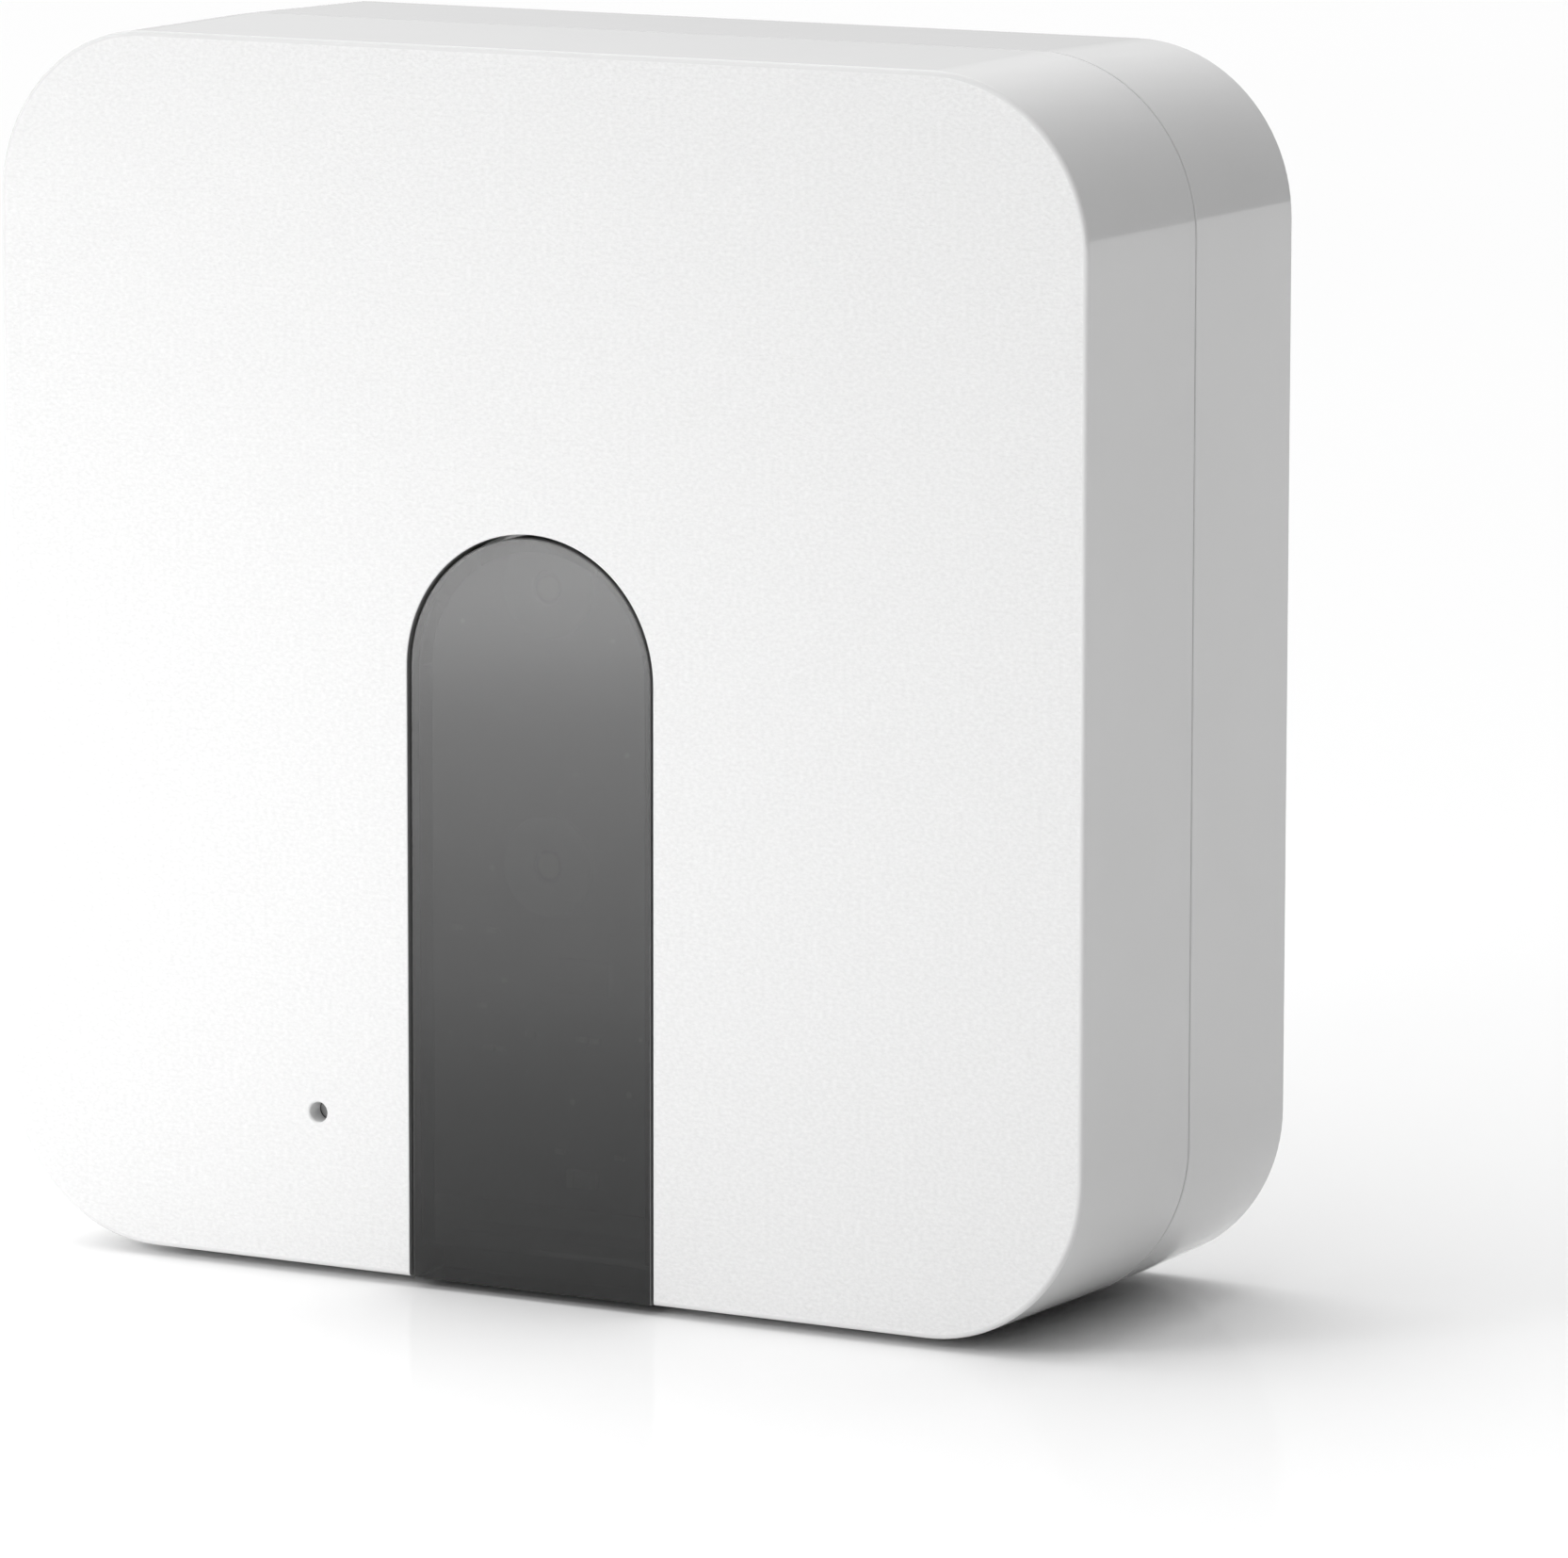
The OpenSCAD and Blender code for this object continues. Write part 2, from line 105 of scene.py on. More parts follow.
# Back
BAY_SIZE = (54 * MM, 20 * MM)
BAY_DEPTH = 5 * MM
BAY_FLOOR = 1.8 * MM
BAY_R = 3 * MM
BUTTON_R = 3.8 * MM
BUTTON_GAP = 0.3 * MM
BUTTON_FLANGE_R = 5 * MM
BUTTON_FLANGE_T = 1 * MM
BUTTON_STUB_R = 2 * MM
LAN_FIT = 0.3 * MM
USB_FIT = 0.25 * MM
LABEL_FIT = 0.15 * MM
SCREW_HOLE_R = 3.1 * MM
SLOTS, SLOT_PITCH = 13, 5 * MM
SLOT_W, SLOT_LEN = 2 * MM, 12 * MM
SLOT_ROWS = (38 * MM, 22 * MM)
LABEL_RECESS = 0.3 * MM
BACK_HOLE_EDGE = 0.25 * MM

CUT = 1 * MM                 # how far a cutter runs past what it cuts
CORNER_STEPS = 24
ROUND_STEPS = 96
SAME_PLACE = 1e-7            # metres within which two points are one
FLAT_ANGLE = math.radians(0.05)
CRISP_ANGLE = math.radians(32)


# ---- Outlines: each gives (x, z) points, counterclockwise from the front, grown by a distance ----

def rounded_rect(width, height, radius, steps=CORNER_STEPS):
    def outline(grow=0.0):
        r = max(radius + grow, 1e-6)
        cx, cz = width / 2 + grow - r, height / 2 + grow - r
        points = []
        for k, (sx, sz) in enumerate(((1, 1), (-1, 1), (-1, -1), (1, -1))):
            for i in range(steps + 1):
                a = math.pi / 2 * (k + i / steps)
                points.append((sx * cx + r * math.cos(a), sz * cz + r * math.sin(a)))
        return points
    return outline


def disc(radius, steps=ROUND_STEPS):
    def outline(grow=0.0):
        return [((radius + grow) * math.cos(2 * math.pi * i / steps),
                 (radius + grow) * math.sin(2 * math.pi * i / steps)) for i in range(steps)]
    return outline


def arch(radius, down, steps=ROUND_STEPS):
    """Half-round top about the middle of the face, with straight sides down to -down."""
    def outline(grow=0.0):
        r = radius + grow
        angles = [math.pi * i / steps for i in range(steps + 1)]
        top = [(r * math.cos(a), r * math.sin(a)) for a in angles]
        return top + [(-r, -down - grow), (r, -down - grow)]
    return outline


def case_outline():
    return rounded_rect(CASE, CASE, CORNER)


# ---- Solids ----

def new_object(name, verts, faces):
    mesh = bpy.data.meshes.new(name)
    mesh.from_pydata(verts, [], faces)
    mesh.update()
    obj = bpy.data.objects.new(name, mesh)
    bpy.context.scene.collection.objects.link(obj)
    return obj


def loft(name, outline, sections, centre=(0.0, 0.0)):
    """Closed solid through (grow, y) sections of the outline, about a centre on the face."""
    verts, faces, count = [], [], len(outline(0.0))
    for grow, y in sections:
        verts += [(centre[0] + x, y, MID_Z + centre[1] + z) for x, z in outline(grow)]
    for s in range(len(sections) - 1):
        a, b = s * count, (s + 1) * count
        faces += [(a + i, b + i, b + (i + 1) % count, a + (i + 1) % count) for i in range(count)]
    faces.append(tuple(range(count)))
    faces.append(tuple(reversed(range((len(sections) - 1) * count, len(sections) * count))))
    return new_object(name, verts, faces)


def lathe(name, profile, centre, axis="Y", steps=ROUND_STEPS):
    """Closed solid of revolution; the profile is (radius, place along the axis), end to end."""
    verts, faces, rings = [], [], []
    turned = {"Y": lambda a, r, t: (centre[0] + r * math.cos(a), t, centre[1] + r * math.sin(a)),
              "Z": lambda a, r, t: (centre[0] + r * math.cos(a), centre[1] + r * math.sin(a), t)}[axis]
    for r, t in profile:
        ring = []
        for i in range(steps if r > 0 else 1):
            ring.append(len(verts))
            verts.append(turned(2 * math.pi * i / steps, r, t))
        rings.append(ring)
    for a, b in zip(rings, rings[1:]):
        for i in range(steps):
            j = (i + 1) % steps
            quad = [a[i % len(a)], b[i % len(b)], b[j % len(b)], a[j % len(a)]]
            face = list(dict.fromkeys(quad))
            if len(face) > 2:
                faces.append(face)
    obj = new_object(name, verts, faces)
    recalculate_normals(obj)
    return obj


def box_solid(name, low, high):
    x0, y0, z0 = low
    x1, y1, z1 = high
    verts = [(x, y, z) for x in (x0, x1) for y in (y0, y1) for z in (z0, z1)]
    faces = [(0, 1, 3, 2), (4, 6, 7, 5), (0, 4, 5, 1), (2, 3, 7, 6), (0, 2, 6, 4), (1, 5, 7, 3)]
    return new_object(name, verts, faces)


def recalculate_normals(obj):
    bm = bmesh.new()
    bm.from_mesh(obj.data)
    bmesh.ops.recalc_face_normals(bm, faces=bm.faces)
    bm.to_mesh(obj.data)
    bm.free()


def rod(name, centre, y0, y1, radius, flare=0.0, steps=64):
    """Round bar along Y; as a cutter it can flare where it leaves a surface at its far end."""
    sections = [(0.0, y0), (0.0, y1)]
    if flare:
        sections = flared(y0, y1, flare)
    return loft(name, disc(radius, steps), sections, centre)


def quarter(edge, steps=4):
    """Fractions (across, along) of a quarter round of this radius."""
    return [(edge * (1 - math.cos(math.pi / 2 * i / steps)), edge * math.sin(math.pi / 2 * i / steps))
            for i in range(steps + 1)]


def flared(y0, surface_y, edge):
    """Sections of a cutter that runs from y0 out through surface_y and rounds the rim that it leaves."""
    side = 1 if surface_y > y0 else -1
    sections = [(0.0, y0)]
    sections += [(across, surface_y - side * (edge - along)) for across, along in quarter(edge)]
    sections.append((edge, surface_y + side * CUT))
    return sections if side > 0 else sections[::-1]


def rounded_end(y_end, inset, edge, side):
    """Sections that round an outer edge at y_end; side is -1 at the front end, 1 at the back end."""
    rows = [(-inset - edge + along, y_end - side * across) for across, along in quarter(edge)]
    return rows if side < 0 else rows[::-1]


def boolean(target, tools, operation):
    for tool in tools:
        modifier = target.modifiers.new("boolean", "BOOLEAN")
        modifier.operation = operation
        modifier.solver = "MANIFOLD"
        modifier.object = tool
    depsgraph = bpy.context.evaluated_depsgraph_get()
    result = bpy.data.meshes.new_from_object(target.evaluated_get(depsgraph))
    target.modifiers.clear()
    target.data = result
    for tool in tools:
        bpy.data.objects.remove(tool)
    return target


def cut(target, *tools):
    return boolean(target, tools, "DIFFERENCE")


def add(target, *tools):
    return boolean(target, tools, "UNION")


def solids_of(node):
    """(low, high) corners of each separate solid in a CAD node."""
    bm = bmesh.new()
    bm.from_mesh(frame["nodes"][node].data)
    bmesh.ops.remove_doubles(bm, verts=bm.verts, dist=SAME_PLACE)
    seen, boxes = set(), []
    for start in bm.verts:
        if start in seen:
            continue
        stack, island = [start], []
        seen.add(start)
        while stack:
            v = stack.pop()
            island.append(v.co.copy())
            for e in v.link_edges:
                w = e.other_vert(v)
                if w not in seen:
                    seen.add(w)
                    stack.append(w)
        boxes.append((Vector([min(c[i] for c in island) for i in range(3)]),
                      Vector([max(c[i] for c in island) for i in range(3)])))
    bm.free()
    return boxes


def middle(low, high):
    """Centre of a box as (x, z)."""
    return ((low.x + high.x) / 2, (low.z + high.z) / 2)


def centre_of(low, high):
    """Centre of a box as (x, z), measured from the middle of the face."""
    x, z = middle(low, high)
    return (x, z - MID_Z)


def node_centre(node):
    return centre_of(*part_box(node))


# ---- Materials ----

CASE_COLOUR = (0.73, 0.73, 0.73)
BROAD = 60.0                 # noise scale of the slow drift in a finish's tone
PITS_PER_METRE = (2100.0, 2100.0, 3600.0)
TRACES_PER_METRE = 1600.0
WIRES_PER_METRE = 2000.0


def math_node(tree, operation, *values):
    """Output of a Math node; each value is a number or another node's output."""
    node = tree.nodes.new("ShaderNodeMath")
    node.operation = operation
    for i, value in enumerate(values):
        if isinstance(value, (int, float)):
            node.inputs[i].default_value = value
        else:
            tree.links.new(value, node.inputs[i])
    return node.outputs[0]


def nodes_of(material):
    material.use_nodes = True
    tree = material.node_tree
    shader = tree.nodes["Principled BSDF"]
    return tree, shader


def object_noise(tree, scale, detail=3.0, roughness=0.5, stretch=None):
    """Noise fixed to the piece; stretch gives it a scale of its own along each axis."""
    coords = tree.nodes.new("ShaderNodeTexCoord")
    noise = tree.nodes.new("ShaderNodeTexNoise")
    noise.inputs["Scale"].default_value = scale
    noise.inputs["Detail"].default_value = detail
    noise.inputs["Roughness"].default_value = roughness
    source = coords.outputs["Object"]
    if stretch:
        mapping = tree.nodes.new("ShaderNodeMapping")
        mapping.inputs["Scale"].default_value = stretch
        tree.links.new(source, mapping.inputs["Vector"])
        source = mapping.outputs["Vector"]
    tree.links.new(source, noise.inputs["Vector"])
    return noise


def colour_between(tree, shader, noise, dark, light, low=0.35, high=0.65):
    ramp = tree.nodes.new("ShaderNodeValToRGB")
    ramp.color_ramp.elements[0].position = low
    ramp.color_ramp.elements[1].position = high
    ramp.color_ramp.elements[0].color = (*dark, 1)
    ramp.color_ramp.elements[1].color = (*light, 1)
    tree.links.new(noise.outputs["Fac"], ramp.inputs["Fac"])
    tree.links.new(ramp.outputs["Color"], shader.inputs["Base Color"])


def colour_mix(tree, factor, first, second):
    """Colour between two colours; each is a tuple or another node's output."""
    node = tree.nodes.new("ShaderNodeMix")
    node.data_type = "RGBA"
    tree.links.new(factor, node.inputs["Factor"])
    colours = [i for i in node.inputs if i.type == "RGBA"]
    for socket, value in zip(colours, (first, second)):
        if isinstance(value, tuple):
            socket.default_value = (*value, 1)
        else:
            tree.links.new(value, socket)
    return next(o for o in node.outputs if o.type == "RGBA")


def add_bump(tree, shader, noise, distance, strength=1.0):
    bump = tree.nodes.new("ShaderNodeBump")
    bump.inputs["Strength"].default_value = strength
    bump.inputs["Distance"].default_value = distance
    tree.links.new(noise.outputs["Fac"], bump.inputs["Height"])
    tree.links.new(bump.outputs["Normal"], shader.inputs["Normal"])


def finish_material(name, colour, roughness, metallic=0.0, tone=0.04, grain=900.0, depth=0.004):
    """Solid finish whose tone and surface vary finely, as moulded, plated or printed parts do."""
    material = bpy.data.materials.new(name)
    tree, shader = nodes_of(material)
    shader.inputs["Roughness"].default_value = roughness
    shader.inputs["Metallic"].default_value = metallic
    dark, light = ([min(1, c * (1 + shift)) for c in colour] for shift in (-tone, tone))
    colour_between(tree, shader, object_noise(tree, BROAD), dark, light)
    add_bump(tree, shader, object_noise(tree, grain), depth * MM)
    return material


def make_grain_and_painted_shade():
    """Spark-eroded face: shallow pits, wider than tall, bumped into the surface, with painted shade in
    the pits and a lighter tone between them.
    """
    material = bpy.data.materials.new("case_grain_and_painted_shade")
    tree, shader = nodes_of(material)
    shader.inputs["Roughness"].default_value = 0.55
    shader.inputs["Specular IOR Level"].default_value = 0.4
    pits = object_noise(tree, 1.0, detail=2.0, roughness=0.6, stretch=PITS_PER_METRE)
    # The tone follows the pits: painted shade in them, lighter between them
    dark, light = ([c * shade for c in CASE_COLOUR] for shade in (0.98, 1.08))
    colour_between(tree, shader, pits, dark, light, 0.3, 0.7)
    add_bump(tree, shader, pits, 0.06 * MM)
    return material


def make_lens():
    """Smoky see-through plastic with a polished skin."""
    material = bpy.data.materials.new("smoky_lens")
    tree, shader = nodes_of(material)
    shader.inputs["Roughness"].default_value = 0.03
    shader.inputs["IOR"].default_value = 1.54
    shader.inputs["Transmission Weight"].default_value = 1.0
    smoke = object_noise(tree, 25.0)
    colour_between(tree, shader, smoke, (0.066, 0.069, 0.068), (0.072, 0.075, 0.074))
    return material


def make_board(name, mask, trace):
    """Satin solder mask: patches of parallel traces, upright or level, with tinned vias between them."""
    material = bpy.data.materials.new(name)
    tree, shader = nodes_of(material)
    shader.inputs["Roughness"].default_value = 0.38
    coords = tree.nodes.new("ShaderNodeTexCoord")
    parts = tree.nodes.new("ShaderNodeSeparateXYZ")
    flat = tree.nodes.new("ShaderNodeCombineXYZ")
    tree.links.new(coords.outputs["Object"], parts.inputs["Vector"])
    tree.links.new(parts.outputs["X"], flat.inputs["X"])
    tree.links.new(parts.outputs["Z"], flat.inputs["Y"])

    patches = tree.nodes.new("ShaderNodeTexVoronoi")
    patches.distance = "CHEBYCHEV"
    patches.inputs["Scale"].default_value = 170.0
    tree.links.new(flat.outputs["Vector"], patches.inputs["Vector"])
    draw = tree.nodes.new("ShaderNodeSeparateColor")
    tree.links.new(patches.outputs["Color"], draw.inputs["Color"])
    across, up = (math_node(tree, "LESS_THAN", math_node(tree, "FRACT", math_node(
        tree, "MULTIPLY", parts.outputs[axis], TRACES_PER_METRE)), 0.38) for axis in ("X", "Z"))
    upright = math_node(tree, "GREATER_THAN", draw.outputs["Red"], 0.5)
    routed = math_node(tree, "GREATER_THAN", draw.outputs["Green"], 0.4)
    level = math_node(tree, "SUBTRACT", 1.0, upright)
    lines = math_node(tree, "MULTIPLY_ADD", across, upright, math_node(tree, "MULTIPLY", up, level))
    lines = math_node(tree, "MULTIPLY", lines, routed)

    drills = tree.nodes.new("ShaderNodeTexVoronoi")
    drills.inputs["Scale"].default_value = 330.0
    tree.links.new(flat.outputs["Vector"], drills.inputs["Vector"])
    vias = math_node(tree, "LESS_THAN", drills.outputs["Distance"], 0.1)
    vias = math_node(tree, "MULTIPLY", vias, math_node(tree, "SUBTRACT", 1.0, lines))

    with_lines = colour_mix(tree, lines, mask, trace)
    tree.links.new(colour_mix(tree, vias, with_lines, (0.5, 0.48, 0.42)), shader.inputs["Base Color"])
    tree.links.new(vias, shader.inputs["Metallic"])
    bump = tree.nodes.new("ShaderNodeBump")
    bump.inputs["Distance"].default_value = 0.03 * MM
    tree.links.new(lines, bump.inputs["Height"])
    tree.links.new(bump.outputs["Normal"], shader.inputs["Normal"])
    return material


def make_ribbon():
    """White flat cable with its conductors showing as fine upright stripes."""
    material = bpy.data.materials.new("ribbon")
    tree, shader = nodes_of(material)
    shader.inputs["Roughness"].default_value = 0.25
    coords = tree.nodes.new("ShaderNodeTexCoord")
    parts = tree.nodes.new("ShaderNodeSeparateXYZ")
    tree.links.new(coords.outputs["Object"], parts.inputs["Vector"])
    wire = math_node(tree, "MULTIPLY", parts.outputs["X"], WIRES_PER_METRE)
    wire = math_node(tree, "GREATER_THAN", math_node(tree, "PINGPONG", wire, 1.0), 0.45)
    colour = colour_mix(tree, wire, (0.74, 0.75, 0.74), (0.55, 0.56, 0.57))
    tree.links.new(colour, shader.inputs["Base Color"])
    return material


def make_label():
    """Pale foil: a printed frame and one plain block, with no words."""
    material = bpy.data.materials.new("label")
    tree, shader = nodes_of(material)
    shader.inputs["Roughness"].default_value = 0.5
    low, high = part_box("rating_label")
    coords = tree.nodes.new("ShaderNodeTexCoord")
    parts = tree.nodes.new("ShaderNodeSeparateXYZ")
    tree.links.new(coords.outputs["Object"], parts.inputs["Vector"])

    def within(axis, start, end):
        after = math_node(tree, "GREATER_THAN", parts.outputs[axis], start)
        return math_node(tree, "MULTIPLY", after, math_node(tree, "LESS_THAN", parts.outputs[axis], end))

    def panel(inset):
        return math_node(tree, "MULTIPLY", within("X", low.x + inset, high.x - inset),
                         within("Z", low.z + inset, high.z - inset))

    ink = math_node(tree, "SUBTRACT", panel(1.2 * MM), panel(1.45 * MM))
    band = math_node(tree, "MULTIPLY", within("Z", low.z + 3.5 * MM, low.z + 7.5 * MM),
                     within("X", low.x + 4 * MM, low.x + 24 * MM))
    ink = math_node(tree, "MAXIMUM", ink, math_node(tree, "MULTIPLY", band, 0.45))
    grain = object_noise(tree, 700.0)
    foil = tree.nodes.new("ShaderNodeValToRGB")
    foil.color_ramp.elements[0].color = (0.52, 0.52, 0.53, 1)
    foil.color_ramp.elements[1].color = (0.57, 0.57, 0.58, 1)
    tree.links.new(grain.outputs["Fac"], foil.inputs["Fac"])
    colour = colour_mix(tree, ink, foil.outputs["Color"], (0.2, 0.2, 0.21))
    tree.links.new(colour, shader.inputs["Base Color"])
    return material


MATERIALS = {
    "case_white": finish_material("case_satin", CASE_COLOUR, 0.08, tone=0.01, grain=300.0,
                                  depth=0.0006),
    "smoky_lens": make_lens(),
    "black_foam": finish_material("black_foam", (0.02, 0.02, 0.02), 0.9, grain=3000.0, depth=0.05),
    "front_board": make_board("front_board", (0.02, 0.024, 0.022), (0.032, 0.037, 0.034)),
    "diffuser": finish_material("diffuser", (0.3, 0.3, 0.29), 0.45),
    "led": finish_material("led", (0.5, 0.45, 0.3), 0.15),
    "chip_black": finish_material("chip_black", (0.025, 0.025, 0.026), 0.55, grain=4000.0, depth=0.01),
    "chip_parts": finish_material("chip_parts", (0.42, 0.38, 0.32), 0.4, metallic=0.3),
    "switch_black": finish_material("switch_black", (0.03, 0.03, 0.03), 0.5),
    "stem_white": finish_material("stem_white", (0.5, 0.5, 0.5), 0.45),
    "screw_steel": finish_material("screw_steel", (0.6, 0.6, 0.58), 0.3, metallic=1.0),
    "socket_ivory": finish_material("socket_ivory", (0.7, 0.66, 0.55), 0.45),
    "ribbon": make_ribbon(),
    "main_board": make_board("main_board", (0.008, 0.05, 0.026), (0.02, 0.095, 0.05)),
    "thermal_pad": finish_material("thermal_pad", (0.3, 0.36, 0.48), 0.85),
    "heat_sink": finish_material("heat_sink", (0.62, 0.62, 0.63), 0.35, metallic=1.0),
    "shield_steel": finish_material("shield_steel", (0.66, 0.65, 0.63), 0.28, metallic=1.0),
    "antenna_brass": finish_material("antenna_brass", (0.72, 0.6, 0.36), 0.3, metallic=1.0),
    "inductor": finish_material("inductor", (0.09, 0.09, 0.09), 0.6),
    "capacitor": finish_material("capacitor", (0.03, 0.035, 0.09), 0.3),
    "jack_black": finish_material("jack_black", (0.02, 0.02, 0.02), 0.4),
    "contact_gold": finish_material("contact_gold", (0.85, 0.62, 0.25), 0.2, metallic=1.0),
    "button_white": finish_material("button_white", (0.72, 0.72, 0.72), 0.35, tone=0.01,
                                    grain=2500.0, depth=0.006),
    "screw_black": finish_material("screw_black", (0.03, 0.03, 0.032), 0.35, metallic=0.8),
    "foot_rubber": finish_material("foot_rubber", (0.025, 0.025, 0.025), 0.8, grain=2500.0,
                                   depth=0.03),
    "label": make_label(),
}
# Finishes and painted shade of single faces, on pieces that already have one of the slots above
GRAIN_AND_PAINTED_SHADE = make_grain_and_painted_shade()
# Dark grey for the walls of the window's opening: painted shade of the narrow gap round the lens
OPENING_SHADE = finish_material("opening_painted_shade", (0.22, 0.22, 0.22), 0.6)
GROUND_EDGE = finish_material("lens_edge", (0.2, 0.2, 0.2), 0.5)
SLOT_OF = {s["node"]: s["material_slot"] for s in frame["record"]["subparts"]}
BODY_OF = {n: b for b, members in frame["record"]["behaviour"]["bodies"].items() for n in members}


# ---- Finishing a piece ----

def merged(mesh):
    """The mesh for editing, with doubled points and the edges inside flat faces taken out."""
    bm = bmesh.new()
    bm.from_mesh(mesh)
    bmesh.ops.remove_doubles(bm, verts=bm.verts, dist=SAME_PLACE)
    bmesh.ops.dissolve_limit(bm, angle_limit=FLAT_ANGLE, verts=bm.verts, edges=bm.edges)
    return bm


def keep_flat(obj):
    weighted = obj.modifiers.new("flat_faces", "WEIGHTED_NORMAL")
    weighted.keep_sharp = True


def shade(obj):
    """Smooth over gentle bends, crisp at edges, with flat faces kept flat."""
    bm = merged(obj.data)
    for face in bm.faces:
        face.smooth = True
    for edge in bm.edges:
        edge.smooth = not edge.is_manifold or edge.calc_face_angle(0.0) < CRISP_ANGLE
    bm.to_mesh(obj.data)
    bm.free()
    keep_flat(obj)
    return obj


def soften(obj, width, segments=2):
    bevel = obj.modifiers.new("soft_edges", "BEVEL")
    bevel.width = width
    bevel.segments = segments
    bevel.limit_method = "ANGLE"
    bevel.angle_limit = math.radians(35)
    bevel.use_clamp_overlap = True


def place(obj, node, *more_materials):
    """Puts the piece in for its CAD node, with the node's body and material slot."""
    obj.data.materials.clear()
    for material in (MATERIALS[SLOT_OF[node]], *more_materials):
        obj.data.materials.append(material)
    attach(obj, BODY_OF[node])
    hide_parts(node)
    return obj


# ---- Case ----

def case_corners():
    return [centre_of(low, high) for low, high in solids_of("case_screws")]


def make_front_shell():
    sections = rounded_end(FACE_Y, FRONT_DRAFT, FACE_EDGE, -1)
    sections += [(0.0, RIM_Y - RIM_EDGE), (-RIM_EDGE, RIM_Y)]
    shell = loft("front_shell_looks", case_outline(), sections)
    lap_y = RIM_Y - LAP
    back_of_face = FACE_Y + FACE_WALL
    cut(shell, loft("cavity", case_outline(), [
        (-WALL - FRONT_DRAFT, back_of_face), (-WALL, lap_y),
        (-LAP_WALL, lap_y), (-LAP_WALL, RIM_Y + CUT)]))

    ledge_y = GASKET_HIGH.y
    ledge_back = ledge_y + LEDGE_T
    inner = back_of_face - ROOT
    window_frame = loft("frame", arch(WINDOW_R + FRAME_W, MID_Z - CASE_BOTTOM - WALL / 2),
                        [(0.0, inner), (0.0, ledge_back)])
    posts = [rod("post", c, inner, RIM_Y - 0.3 * MM, POST_R) for c in case_corners()]
    board_posts = [rod("post", centre_of(*b), inner, BOARD_FRONT, BOARD_POST_R)
                   for b in solids_of("front_board_screws")]
    add(shell, window_frame, *posts, *board_posts)

    window = loft("window", arch(WINDOW_R, CASE), flared(ledge_y, FACE_Y, WINDOW_EDGE))
    view = loft("view", arch(WINDOW_R - LEDGE, MID_Z - FOOT_TOP - FIT),
                [(0.0, ledge_y - CUT), (0.0, ledge_back + CUT)])
    under = box_solid("under", (-WINDOW_R, FACE_Y + CUT / 2, CASE_BOTTOM - CUT),
                      (WINDOW_R, LENS_HIGH.y + FIT, FOOT_TOP + FIT))
    pin = rod("pin", PINHOLE, back_of_face + CUT, FACE_Y, PINHOLE_R, flare=0.2 * MM)
    cut(shell, window, view, under, pin)
    screws = [rod("pilot", c, back_of_face + 2 * MM, RIM_Y + CUT, CASE_PILOT_R, steps=24)
              for c in case_corners()]
    pilots = [rod("pilot", centre_of(*b), back_of_face, BOARD_FRONT + CUT, BOARD_PILOT_R, steps=24)
              for b in solids_of("front_board_screws")]
    pads = [pad_recess(n) for n in ("foot_front_left", "foot_front_right")]
    cut(shell, *screws, *pilots, *pads)

    place(shade(shell), "front_shell", GRAIN_AND_PAINTED_SHADE, OPENING_SHADE, MATERIALS["black_foam"])
    for face in shell.data.polygons:                # the slots are in the order given above
        if face.normal.y < -0.99 and face.center.y < FACE_Y + WINDOW_EDGE:
            face.material_index = 1
        # walls of the window's opening: dark grey, painted shade
        elif in_opening(face):
            face.material_index = 2
        # wall of the notch behind the lens's foot: black, painted shade
        elif behind_foot(face):
            face.material_index = 3


def in_opening(face):
    """Whether a face of the front shell is a wall of the window's opening, behind its soft front edge;
    these walls get dark grey as painted shade.
    """
    x, z = abs(face.center.x), face.center.z
    reach = WINDOW_R + 0.05 * MM
    return (x < reach and math.hypot(x, max(z - MID_Z, 0.0)) < reach and abs(face.normal.y) < 0.9
            and FACE_Y + WINDOW_EDGE / 2 < face.center.y < LENS_HIGH.y + FIT)


def behind_foot(face):
    """Whether a face of the front shell is the wall of the notch behind the lens's foot; this wall is
    painted black as painted shade.
    """
    return (abs(face.center.x) < WINDOW_R and face.center.z < FOOT_TOP + 2 * FIT
            and face.normal.y < -0.9 and LENS_HIGH.y < face.center.y < LENS_HIGH.y + 2 * FIT)


def pad_recess(node):
    """Cutter for the shallow bed that a foot is stuck into."""
    low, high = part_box(node)
    centre = ((low.x + high.x) / 2, (low.y + high.y) / 2)
    radius, start = (high.x - low.x) / 2 + 0.1 * MM, CASE_BOTTOM - CUT
    profile = [(0, start), (radius, start), (radius, high.z), (0, high.z)]
    return lathe("recess", profile, centre, "Z", 48)


